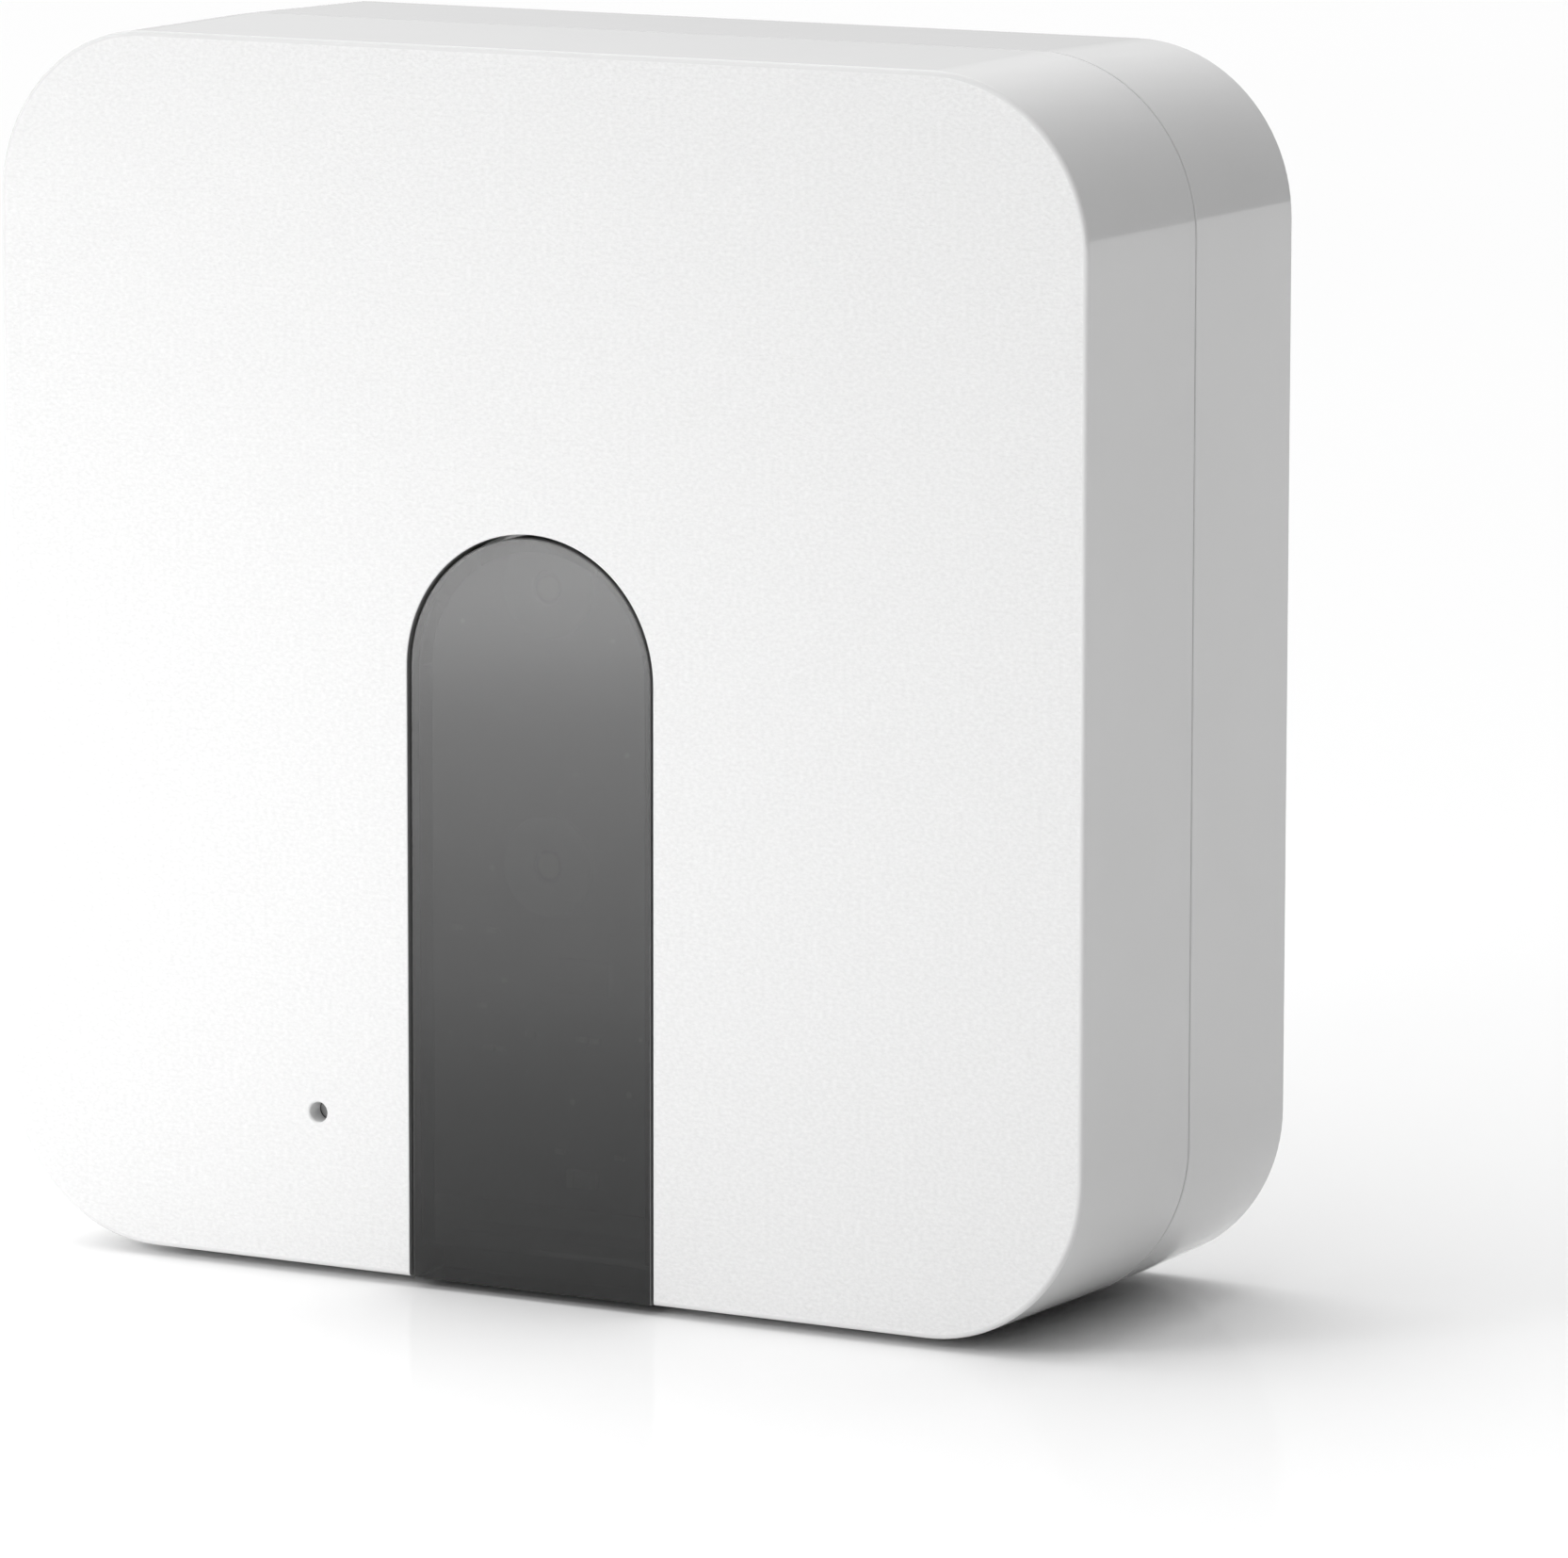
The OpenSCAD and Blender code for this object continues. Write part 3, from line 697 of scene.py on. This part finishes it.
def make_rear_shell():
    rim_y = RIM_Y + GROOVE
    sections = [(-RIM_EDGE, rim_y), (0.0, rim_y + RIM_EDGE)]
    sections += rounded_end(BACK_Y, REAR_DRAFT, BACK_EDGE, 1)
    shell = loft("rear_shell_looks", case_outline(), sections)
    inner_y = BACK_Y - WALL
    cut(shell, loft("cavity", case_outline(), [(-WALL, rim_y - CUT), (-WALL - REAR_DRAFT, inner_y)]))

    lip_inset = -LAP_WALL - LAP_GAP
    lip = loft("lip", case_outline(), [(lip_inset, RIM_Y - LAP + LAP_GAP), (lip_inset, rim_y + ROOT)])
    cut(lip, loft("lip_inside", case_outline(), [(-WALL, RIM_Y - LAP - CUT), (-WALL, rim_y + CUT)]))
    back = inner_y + ROOT
    posts = [rod("post", c, RIM_Y - 0.2 * MM, back, POST_R) for c in case_corners()]
    board_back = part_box("main_board")[1].y
    board_posts = [rod("post", centre_of(*b), board_back, back, MAIN_POST_R)
                   for b in solids_of("main_board_screws")]
    guide = rod("guide", node_centre("pairing_button"), inner_y - 5 * MM, back,
                BUTTON_FLANGE_R + BUTTON_GAP + 1 * MM)
    bay_y = BACK_Y - BAY_DEPTH
    width, height = BAY_SIZE
    bay_walls = loft("bay_walls", rounded_rect(width + 3 * MM, height + 3 * MM, BAY_R + 1.5 * MM, 12),
                     [(0.0, bay_y - BAY_FLOOR), (0.0, back)], BAY_AT)
    add(shell, lip, *posts, *board_posts, guide, bay_walls)

    cut(shell, loft("bay", rounded_rect(width, height, BAY_R, 12),
                    flared(bay_y, BACK_Y, BACK_HOLE_EDGE), BAY_AT))
    cut(shell, *back_cutters(inner_y, bay_y, board_back))
    cut(shell, *[pad_recess(n) for n in ("foot_rear_left", "foot_rear_right")])
    return place(shade(shell), "rear_shell")


def around(box, gap, radius, steps):
    """Rounded rectangle that stands off a box's front view by a gap."""
    low, high = box
    return rounded_rect(high.x - low.x + 2 * gap, high.z - low.z + 2 * gap, radius, steps)


def back_cutters(inner_y, bay_y, board_back):
    """Cutters for the sockets, the key, the label, the screws and the cooling slots."""
    button = node_centre("pairing_button")
    usb_low, usb_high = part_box("usb_c_shell")
    usb_r = (usb_high.z - usb_low.z) / 2 + USB_FIT - 0.01 * MM
    through = [(0.0, board_back), (0.0, bay_y + CUT)]
    cutters = [
        loft("lan", around(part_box("ethernet_shield"), LAN_FIT, 0.2 * MM, 4), through,
             node_centre("ethernet_shield")),
        loft("usb", around((usb_low, usb_high), USB_FIT, usb_r, 12), through,
             node_centre("usb_c_shell")),
        rod("guide_bore", button, inner_y - 6 * MM, inner_y, BUTTON_FLANGE_R + BUTTON_GAP),
        rod("button_hole", button, inner_y - CUT, BACK_Y, BUTTON_R + BUTTON_GAP, flare=BACK_HOLE_EDGE),
        loft("label_bed", around(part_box("rating_label"), LABEL_FIT, 1 * MM, 8),
             [(0.0, BACK_Y - LABEL_RECESS), (0.0, BACK_Y + CUT)], node_centre("rating_label")),
    ]
    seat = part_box("case_screws")[1].y - CASE_HEAD_T
    for c in case_corners():
        cutters.append(rod("clearance", c, RIM_Y - CUT, seat + CUT, CASE_CLEARANCE_R, steps=32))
        cutters.append(rod("counterbore", c, seat, BACK_Y, SCREW_HOLE_R, flare=BACK_HOLE_EDGE))
    for b in solids_of("main_board_screws"):
        cutters.append(rod("pilot", centre_of(*b), board_back - CUT, board_back + 7 * MM,
                           BOARD_PILOT_R, steps=24))
    slot = rounded_rect(SLOT_W, SLOT_LEN, SLOT_W / 2 - 0.01 * MM, 8)
    for row in SLOT_ROWS:
        for i in range(SLOTS):
            at = ((i - (SLOTS - 1) / 2) * SLOT_PITCH, row)
            cutters.append(loft("slot", slot, flared(inner_y - CUT, BACK_Y, BACK_HOLE_EDGE), at))
    return cutters


# ---- Window ----

def make_lens_piece():
    """Polished plate with a ground rim, and a foot that closes the case below the window."""
    bottom = MID_Z - LENS_LOW.z
    plate = loft("window_lens_looks", arch(LENS_R, bottom),
                 rounded_end(LENS_LOW.y, 0.0, LENS_EDGE, -1) + [(0.0, LENS_LOW.y + LENS_T)])
    foot = loft("foot", rounded_rect(2 * LENS_R, FOOT_H, 0.15 * MM, 4),
                [(0.0, LENS_LOW.y + LENS_T / 2)] + rounded_end(LENS_HIGH.y, 0.0, 0.2 * MM, 1),
                (0.0, LENS_LOW.z + FOOT_H / 2 - MID_Z))
    add(plate, foot)
    place(shade(plate), "window_lens", GROUND_EDGE)
    for face in plate.data.polygons:
        face.material_index = int(face.center.z > FOOT_TOP + FOOT_H and abs(face.normal.y) < 0.9)


def make_gasket():
    """Adhesive frame between the lens and its ledge."""
    bottom = MID_Z - GASKET_LOW.z
    ring = loft("lens_gasket_looks", arch(LENS_R, bottom), [(0.0, GASKET_LOW.y), (0.0, GASKET_HIGH.y)])
    cut(ring, loft("opening", arch(WINDOW_R - LEDGE - GASKET_LIP, CASE),
                   [(0.0, GASKET_LOW.y - CUT), (0.0, GASKET_HIGH.y + CUT)]))
    return place(shade(ring), "lens_gasket")


# ---- Lights, feet, button and screws ----

def make_light_ring(node):
    low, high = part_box(node)
    outer = (high.x - low.x) / 2
    hole = 1.5 * MM
    edge = 0.12 * MM
    profile = [(hole, high.y), (hole, low.y + edge), (hole + edge, low.y), (outer - edge, low.y),
               (outer, low.y + edge), (outer, high.y), (hole, high.y)]
    return place(shade(lathe(node + "_looks", profile, middle(low, high))), node)


def make_led(node):
    """Cast lamp with a domed front."""
    low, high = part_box(node)
    r, bulge, steps = (high.x - low.x) / 2, (high.y - low.y) * 0.6, 8
    angles = [math.pi / 2 * i / steps for i in range(steps + 1)]
    dome = [(r * math.sin(a), low.y + bulge * (1 - math.cos(a))) for a in angles]
    profile = dome + [(r, high.y), (0, high.y)]
    return place(shade(lathe(node + "_looks", profile, middle(low, high))), node)


def make_foot(node):
    low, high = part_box(node)
    centre = ((low.x + high.x) / 2, (low.y + high.y) / 2)
    r, edge = (high.x - low.x) / 2, 0.3 * MM
    rim = [(r - edge + along, low.z + across) for across, along in quarter(edge)]
    profile = [(0, low.z)] + rim + [(r, high.z), (0, high.z)]
    return place(shade(lathe(node + "_looks", profile, centre, "Z")), node)


def make_button():
    """Key with a dished top, a flange that stops it in its hole and a stub for its stem."""
    low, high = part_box("pairing_button")
    flange_top = BACK_Y - WALL - 0.1 * MM
    flange_end = flange_top - BUTTON_FLANGE_T
    dish, dish_r, edge, steps = 0.25 * MM, 0.85 * BUTTON_R, 0.35 * MM, 8
    top = [(dish_r * k / steps, high.y - dish * (1 - (k / steps) ** 2)) for k in range(steps + 1)]
    rim = [(BUTTON_R - edge + along, high.y - across) for across, along in quarter(edge)]
    profile = top + rim + [
        (BUTTON_R, flange_top), (BUTTON_FLANGE_R, flange_top), (BUTTON_FLANGE_R, flange_end),
        (BUTTON_STUB_R, flange_end), (BUTTON_STUB_R, low.y), (0, low.y)]
    button = lathe("pairing_button_looks", profile, middle(low, high))
    return place(shade(button), "pairing_button")


def make_case_screws():
    """Pan-head thread-forming screws with a hexagon socket."""
    screws, shank, edge, turns = [], 1.4 * MM, 0.5 * MM, 20
    for low, high in solids_of("case_screws"):
        head = (high.x - low.x) / 2
        seat, tip = high.y - CASE_HEAD_T, low.y + 1 * MM
        rim = [(head - edge + along, high.y - across) for across, along in quarter(edge)]
        thread = [(shank - (0.18 * MM if k % 2 else 0.0), seat - (seat - tip) * k / turns)
                  for k in range(turns + 1)]
        profile = [(0, high.y)] + rim + [(head, seat)] + thread + [(0, low.y)]
        screw = lathe("case_screw", profile, middle(low, high), steps=48)
        cut(screw, rod("socket", centre_of(low, high), high.y - 1.2 * MM, high.y + CUT, 1.1 * MM,
                       steps=6))
        screws.append(screw)
    finish("case_screws", screws)


def make_board_screws(node, side):
    """Pan-head machine screws with a cross recess; side is 1 where the heads face the back."""
    screws, shank, edge, turns = [], 0.95 * MM, 0.6 * MM, 12
    for low, high in solids_of(node):
        centre, head = middle(low, high), (high.x - low.x) / 2
        top, end = (high.y, low.y) if side > 0 else (low.y, high.y)
        seat = top - side * BOARD_HEAD_T
        rim = [(head - edge + along, top - side * across) for across, along in quarter(edge)]
        thread = [(shank - (0.12 * MM if k % 2 else 0.0), seat + (end - seat) * k / turns * 0.92)
                  for k in range(turns + 1)]
        profile = [(0, top)] + rim + [(head, seat)] + thread + [(0, end)]
        screw = lathe("board_screw", profile, centre, steps=32)
        for wide, tall in ((1.1 * MM, 0.2 * MM), (0.2 * MM, 1.1 * MM)):
            near, far = sorted((top - side * 0.8 * MM, top + side * CUT))
            cut(screw, box_solid("slot", (centre[0] - wide, near, centre[1] - tall),
                                 (centre[0] + wide, far, centre[1] + tall)))
        screws.append(screw)
    finish(node, screws)


# ---- Boards and what is on them ----

def block_solid(name, low, high, edge):
    """Box with every edge broken."""
    outline = rounded_rect(high.x - low.x, high.z - low.z, edge, 3)
    sections = [(-0.7 * edge, low.y), (0.0, low.y + edge), (0.0, high.y - edge), (-0.7 * edge, high.y)]
    return loft(name, outline, sections, centre_of(low, high))


def finish(node, pieces, *more_materials):
    """Joins the solids of a piece, shades them and puts them in for their CAD node."""
    whole = pieces[0]
    for other in pieces[1:]:
        joined(whole, other)
    whole.name = node + "_looks"
    return place(shade(whole), node, *more_materials)


def make_blocks(node, edge):
    return finish(node, [block_solid("block", low, high, edge) for low, high in solids_of(node)])


def make_chip(node, side):
    """Moulded package with a dimple over its first pin; side is 1 where it faces the back."""
    low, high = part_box(node)
    top = high.y if side > 0 else low.y
    chip = block_solid("chip", low, high, 0.12 * MM)
    at = ((low.x + 1.3 * MM), (high.z - 1.3 * MM) - MID_Z)
    near, far = sorted((top - side * 0.08 * MM, top + side * CUT))
    cut(chip, rod("dimple", at, near, far, 0.45 * MM, steps=24))
    return finish(node, [chip])


def make_shield(node):
    """Stamped can: a lid that laps over its fence, with a grid of vent holes."""
    low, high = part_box(node)
    lap, edge = 0.12 * MM, 0.25 * MM
    rise = high.y - low.y
    can = loft("can", rounded_rect(high.x - low.x, high.z - low.z, 0.6 * MM, 5),
               [(-lap, low.y), (-lap, low.y + 0.3 * rise), (0.0, low.y + 0.3 * rise)]
               + rounded_end(high.y, 0.0, edge, 1), centre_of(low, high))
    columns, rows = 5, 6
    x_mid, z_mid = centre_of(low, high)
    holes = []
    for i in range(columns):
        for k in range(rows):
            if (i + k) % 2:
                continue
            at = (x_mid + (i - (columns - 1) / 2) * 2.1 * MM,
                  z_mid + (k - (rows - 1) / 2) * 1.6 * MM)
            holes.append(rod("hole", at, high.y - 0.25 * MM, high.y + CUT, 0.4 * MM, steps=16))
    cut(can, *holes)
    return finish(node, [can])


def make_small_parts(node):
    """Chip resistors and capacitors: a ceramic body between two tinned ends."""
    pieces = []
    for low, high in solids_of(node):
        span = high.x - low.x
        for start, end, inset, tinned in (
                (0, 0.25, 0, 1), (0.25, 0.75, 0.03 * MM, 0), (0.75, 1, 0, 1)):
            near = Vector((low.x + start * span, low.y + inset, low.z + inset))
            far = Vector((low.x + end * span, high.y - inset, high.z - inset))
            piece = block_solid("chip_part", near, far, 0.04 * MM)
            for face in piece.data.polygons:
                face.material_index = tinned
            pieces.append(piece)
    return finish(node, pieces, MATERIALS["screw_steel"])


def make_capacitor():
    """Can in a printed sleeve, crimped near its base, with a bare scored top."""
    low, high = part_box("bulk_capacitor")
    r = (high.x - low.x) / 2
    crimp = low.y + 1.5 * MM
    lid = high.y - 0.2 * MM
    profile = [(0, lid), (r - 0.6 * MM, lid), (r - 0.45 * MM, high.y)]
    profile += [(r - 0.25 * MM, high.y), (r - 0.07 * MM, high.y - 0.08 * MM)]
    profile += [(r, high.y - 0.25 * MM), (r, crimp + 0.5 * MM)]
    profile += [(r - 0.3 * MM, crimp + 0.15 * MM), (r - 0.3 * MM, crimp - 0.15 * MM)]
    profile += [(r, crimp - 0.5 * MM), (r, low.y + 0.1 * MM), (r - 0.1 * MM, low.y), (0, low.y)]
    x, z = middle(low, high)
    can = lathe("can", profile, (x, z))
    long, thin = r - 0.8 * MM, 0.12 * MM
    for wide, tall in ((thin, long), (long, thin)):
        cut(can, box_solid("score", (x - wide, high.y - 0.3 * MM, z - tall),
                           (x + wide, high.y + CUT, z + tall)))
    piece = finish("bulk_capacitor", [can], MATERIALS["heat_sink"])
    for face in piece.data.polygons:
        off_axis = math.hypot(face.center.x - x, face.center.z - z)
        face.material_index = int(face.normal.y > 0.5 and face.center.y > high.y - 0.25 * MM
                                  and off_axis < r - 0.4 * MM)


def make_softened(node, width=0.08 * MM):
    """The CAD node's own shape with its edges slightly rounded."""
    piece = new_object(node + "_looks", [], [])
    piece.data = frame["nodes"][node].data.copy()
    bm = merged(piece.data)
    bm.to_mesh(piece.data)
    bm.free()
    soften(piece, width)
    for face in piece.data.polygons:
        face.use_smooth = True
    keep_flat(piece)
    return place(piece, node)


# ---- Sockets ----

def make_contacts():
    """Eight sprung wires, each rising from the mouth of the socket towards its back."""
    wires = []
    for low, high in solids_of("ethernet_contacts"):
        thick = 0.22 * MM
        length, rise = high.y - low.y, high.z - low.z - thick
        bends = ((0.0, 0.35), (0.05, 0.08), (0.12, 0.0), (0.25, 0.06))
        route = [(high.y - back * length, low.z + up * rise) for back, up in bends]
        route.append((low.y, low.z + rise))
        points = route + [(y, z + thick) for y, z in reversed(route)]
        wires.append(prism("wire", points, low.x, high.x))
    finish("ethernet_contacts", wires)


def prism(name, points, x0, x1):
    """Solid of the (y, z) outline between two places along X."""
    count = len(points)
    verts = [(x, y, z) for x in (x0, x1) for y, z in points]
    faces = [(i, (i + 1) % count, count + (i + 1) % count, count + i) for i in range(count)]
    faces += [tuple(range(count)), tuple(reversed(range(count, 2 * count)))]
    obj = new_object(name, verts, faces)
    recalculate_normals(obj)
    return obj


def make_usb_shell():
    """Drawn steel sleeve with a rounded mouth."""
    low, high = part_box("usb_c_shell")
    width, height, wall = high.x - low.x, high.z - low.z, 0.3 * MM
    centre = centre_of(low, high)
    tube = loft("tube", rounded_rect(width, height, height / 2 - 0.01 * MM, 20),
                [(0.0, low.y)] + rounded_end(high.y, 0.0, 0.1 * MM, 1), centre)
    bore = rounded_rect(width - 2 * wall, height - 2 * wall, height / 2 - wall - 0.01 * MM, 20)
    mouth = [(0.0, low.y - CUT)] + flared(low.y, high.y, 0.08 * MM)[1:]
    cut(tube, loft("bore", bore, mouth, centre))
    return finish("usb_c_shell", [tube])


def make_usb_core():
    """Black block with its tongue; gilt contacts lie on both sides of the tongue."""
    low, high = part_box("usb_c_core")
    verts = [v.co for v in frame["nodes"]["usb_c_core"].data.vertices]
    tip = [v for v in verts if v.y > high.y - 0.01 * MM]
    tip_low, tip_high = (Vector([pick(v[i] for v in tip) for i in range(3)]) for pick in (min, max))
    root = max(v.y for v in verts if v.z > high.z - 0.05 * MM)
    height = high.z - low.z
    base = loft("base", rounded_rect(high.x - low.x, height, height / 2 - 0.01 * MM, 20),
                [(0.0, low.y), (0.0, root)], centre_of(low, high))
    tongue = block_solid("tongue", Vector((tip_low.x, root - 0.4 * MM, tip_low.z)), tip_high, 0.12 * MM)
    add(base, tongue)
    pieces = [base]
    count, pitch = 12, 0.5 * MM
    middle_x = (low.x + high.x) / 2
    for z, side in ((tip_low.z, -1), (tip_high.z, 1)):
        for i in range(count):
            x = middle_x + (i - (count - 1) / 2) * pitch
            a, b = sorted((z + side * 0.03 * MM, z + side * 0.002 * MM))
            pad = box_solid("contact", (x - 0.12 * MM, root + 0.5 * MM, a),
                            (x + 0.12 * MM, high.y - 0.6 * MM, b))
            recalculate_normals(pad)
            for face in pad.data.polygons:
                face.material_index = 1
            pieces.append(pad)
    return finish("usb_c_core", pieces, MATERIALS["contact_gold"])


def make_rating_label():
    low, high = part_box("rating_label")
    label = loft("label", around((low, high), 0.0, 1 * MM, 8), [(0.0, low.y), (0.0, high.y)],
                 centre_of(low, high))
    return finish("rating_label", [label])


def joined(a, b):
    """Moves b's mesh into a."""
    bm = bmesh.new()
    bm.from_mesh(a.data)
    bm.from_mesh(b.data)
    bm.to_mesh(a.data)
    bm.free()
    bpy.data.objects.remove(b)
    return a


def carry_over(node):
    """Keeps a CAD node's own shape, with its procedural material."""
    obj = frame["nodes"][node]
    obj.data.materials.clear()
    obj.data.materials.append(MATERIALS[SLOT_OF[node]])


# ---- The pieces ----

BAY_AT = (0.0, node_centre("usb_c_shell")[1])
PINHOLE = node_centre("reset_stem")

make_front_shell()
make_rear_shell()
make_lens_piece()
make_gasket()
for ring in ("upper_light_ring", "lower_light_ring"):
    make_light_ring(ring)
for led in ("upper_led", "lower_led"):
    make_led(led)
for foot in ("foot_front_left", "foot_front_right", "foot_rear_left", "foot_rear_right"):
    make_foot(foot)
make_button()
make_case_screws()
make_board_screws("front_board_screws", 1)
make_board_screws("main_board_screws", -1)
make_chip("touch_chip", -1)
for chip in ("main_processor", "memory_chip", "lan_transformer"):
    make_chip(chip, 1)
for can in ("wifi_shield", "mesh_shield"):
    make_shield(can)
for parts in ("front_board_parts", "main_board_parts"):
    make_small_parts(parts)
make_blocks("thermal_pad", 0.12 * MM)
make_blocks("power_inductor", 0.4 * MM)
make_blocks("clock_crystal", 0.3 * MM)
make_capacitor()
make_contacts()
make_usb_shell()
make_usb_core()
make_rating_label()
for part in ("front_board", "main_board", "heat_sink", "ethernet_jack", "ethernet_shield",
             "pairing_switch", "reset_switch", "front_ribbon_socket", "main_ribbon_socket"):
    make_softened(part)
for name, cad in frame["nodes"].items():
    if not cad.hide_render:
        carry_over(name)


# ---- Stage ----

FLOOR_COLOUR = (0.96, 0.96, 0.96)
FLOOR_POLISH = 0.07
PANEL_FALLOFF = 8.0
# Camera: direction in degrees, and the point of the face plane that it aims at
CAMERA_AZIMUTH, CAMERA_ELEVATION, CAMERA_ROLL = -90 + 29.276, 9.144, 0.085
CAMERA_DISTANCE = 851.7 * MM
CAMERA_AIM = (25.67 * MM, -7.0 * MM)
CAMERA_LENS = 225.96
# Azimuth and elevation in degrees, and strength: an upper ring, one overhead and a lower ring
SOFT_PANELS = (
    (60, 48, 0.20), (120, 48, 1.41), (180, 66, 0.98), (240, 48, 1.01), (300, 48, 0.28),
    (0, 90, 1.25),
    (90, 12, 0.10), (135, 12, 0.74), (180, 12, 0.10), (225, 12, 0.66), (270, 12, 0.20),
)
# Place in metres, width and power of each small lamp over the table. They light the patch of
# table that the window mirrors, brighter with distance, which fades the window downwards.
TABLE_LAMPS = (
    ((-0.27, -0.50, 0.12), 0.10, 0.58),
    ((-0.22, -0.40, 0.12), 0.10, 0.52),
    ((-0.13, -0.25, 0.12), 0.10, 0.22),
    ((-0.19, -0.36, 0.20), 0.10, 0.36),
    ((-0.08, -0.16, 0.08), 0.06, 0.04),
)


def make_floor():
    """Pale table whose reflection is faint."""
    verts = [(-4, -4, 0), (4, -4, 0), (4, 8, 0), (-4, 8, 0)]
    floor = new_object("floor", verts, [(0, 1, 2, 3)])
    material = bpy.data.materials.new("floor_white")
    tree, shader = nodes_of(material)
    shader.inputs["Roughness"].default_value = 0.9
    shader.inputs["Specular IOR Level"].default_value = 0.0
    cloud = object_noise(tree, 2.0)
    colour_between(tree, shader, cloud, FLOOR_COLOUR, [c + 0.01 for c in FLOOR_COLOUR])
    polish = tree.nodes.new("ShaderNodeBsdfGlossy")
    polish.inputs["Roughness"].default_value = 0.03
    blend = tree.nodes.new("ShaderNodeMixShader")
    blend.inputs["Fac"].default_value = FLOOR_POLISH
    tree.links.new(shader.outputs["BSDF"], blend.inputs[1])
    tree.links.new(polish.outputs["BSDF"], blend.inputs[2])
    tree.links.new(blend.outputs["Shader"], tree.nodes["Material Output"].inputs["Surface"])
    floor.data.materials.append(material)


def toward(azimuth, elevation):
    """Unit vector; azimuth 0 is +X and 90 is +Y, in degrees."""
    a, e = math.radians(azimuth), math.radians(elevation)
    return Vector((math.cos(a) * math.cos(e), math.sin(a) * math.cos(e), math.sin(e)))


def make_world():
    """Studio of broad soft panels that fade out over about 30 degrees, dark on the right."""
    world = bpy.data.worlds.new("studio")
    bpy.context.scene.world = world
    world.use_nodes = True
    tree = world.node_tree
    background = tree.nodes["Background"]
    background.inputs["Color"].default_value = (1, 1, 1, 1)
    coords = tree.nodes.new("ShaderNodeTexCoord")
    total = None
    for azimuth, elevation, strength in SOFT_PANELS:
        aim = tree.nodes.new("ShaderNodeVectorMath")
        aim.operation = "DOT_PRODUCT"
        aim.inputs[1].default_value = toward(azimuth, elevation)
        tree.links.new(coords.outputs["Generated"], aim.inputs[0])
        fade = math_node(tree, "MULTIPLY_ADD", aim.outputs["Value"], PANEL_FALLOFF, -PANEL_FALLOFF)
        glow = math_node(tree, "EXPONENT", fade)
        total = math_node(tree, "MULTIPLY_ADD", glow, strength, total if total else 0.0)
    tree.links.new(total, background.inputs["Strength"])


def make_table_lamp(at, width, power):
    """Lamp that faces straight down and is seen neither directly nor in a reflection."""
    data = bpy.data.lights.new("table_lamp", "AREA")
    data.shape = "SQUARE"
    data.size = width
    data.energy = power
    light = bpy.data.objects.new("table_lamp", data)
    bpy.context.scene.collection.objects.link(light)
    light.location = at
    light.visible_camera = False
    light.visible_glossy = False
    light.visible_transmission = False


def make_camera():
    """Long lens, a little above the hub and to its right."""
    roll = math.radians(CAMERA_ROLL)
    target = Vector((CAMERA_AIM[0], FACE_Y, MID_Z + CAMERA_AIM[1]))
    back = toward(CAMERA_AZIMUTH, CAMERA_ELEVATION)
    data = bpy.data.cameras.new("camera")
    data.sensor_width = 36
    data.lens = CAMERA_LENS
    data.clip_end = 50
    camera = bpy.data.objects.new("camera", data)
    bpy.context.scene.collection.objects.link(camera)
    turn = back.to_track_quat("Z", "Y").to_matrix().to_4x4()
    stand = Matrix.Translation(target + back * CAMERA_DISTANCE)
    camera.matrix_world = stand @ turn @ Matrix.Rotation(roll, 4, "Z")
    bpy.context.scene.camera = camera


bpy.context.scene.view_settings.view_transform = "Standard"
make_floor()
make_world()
for at, width, power in TABLE_LAMPS:
    make_table_lamp(at, width, power)
make_camera()
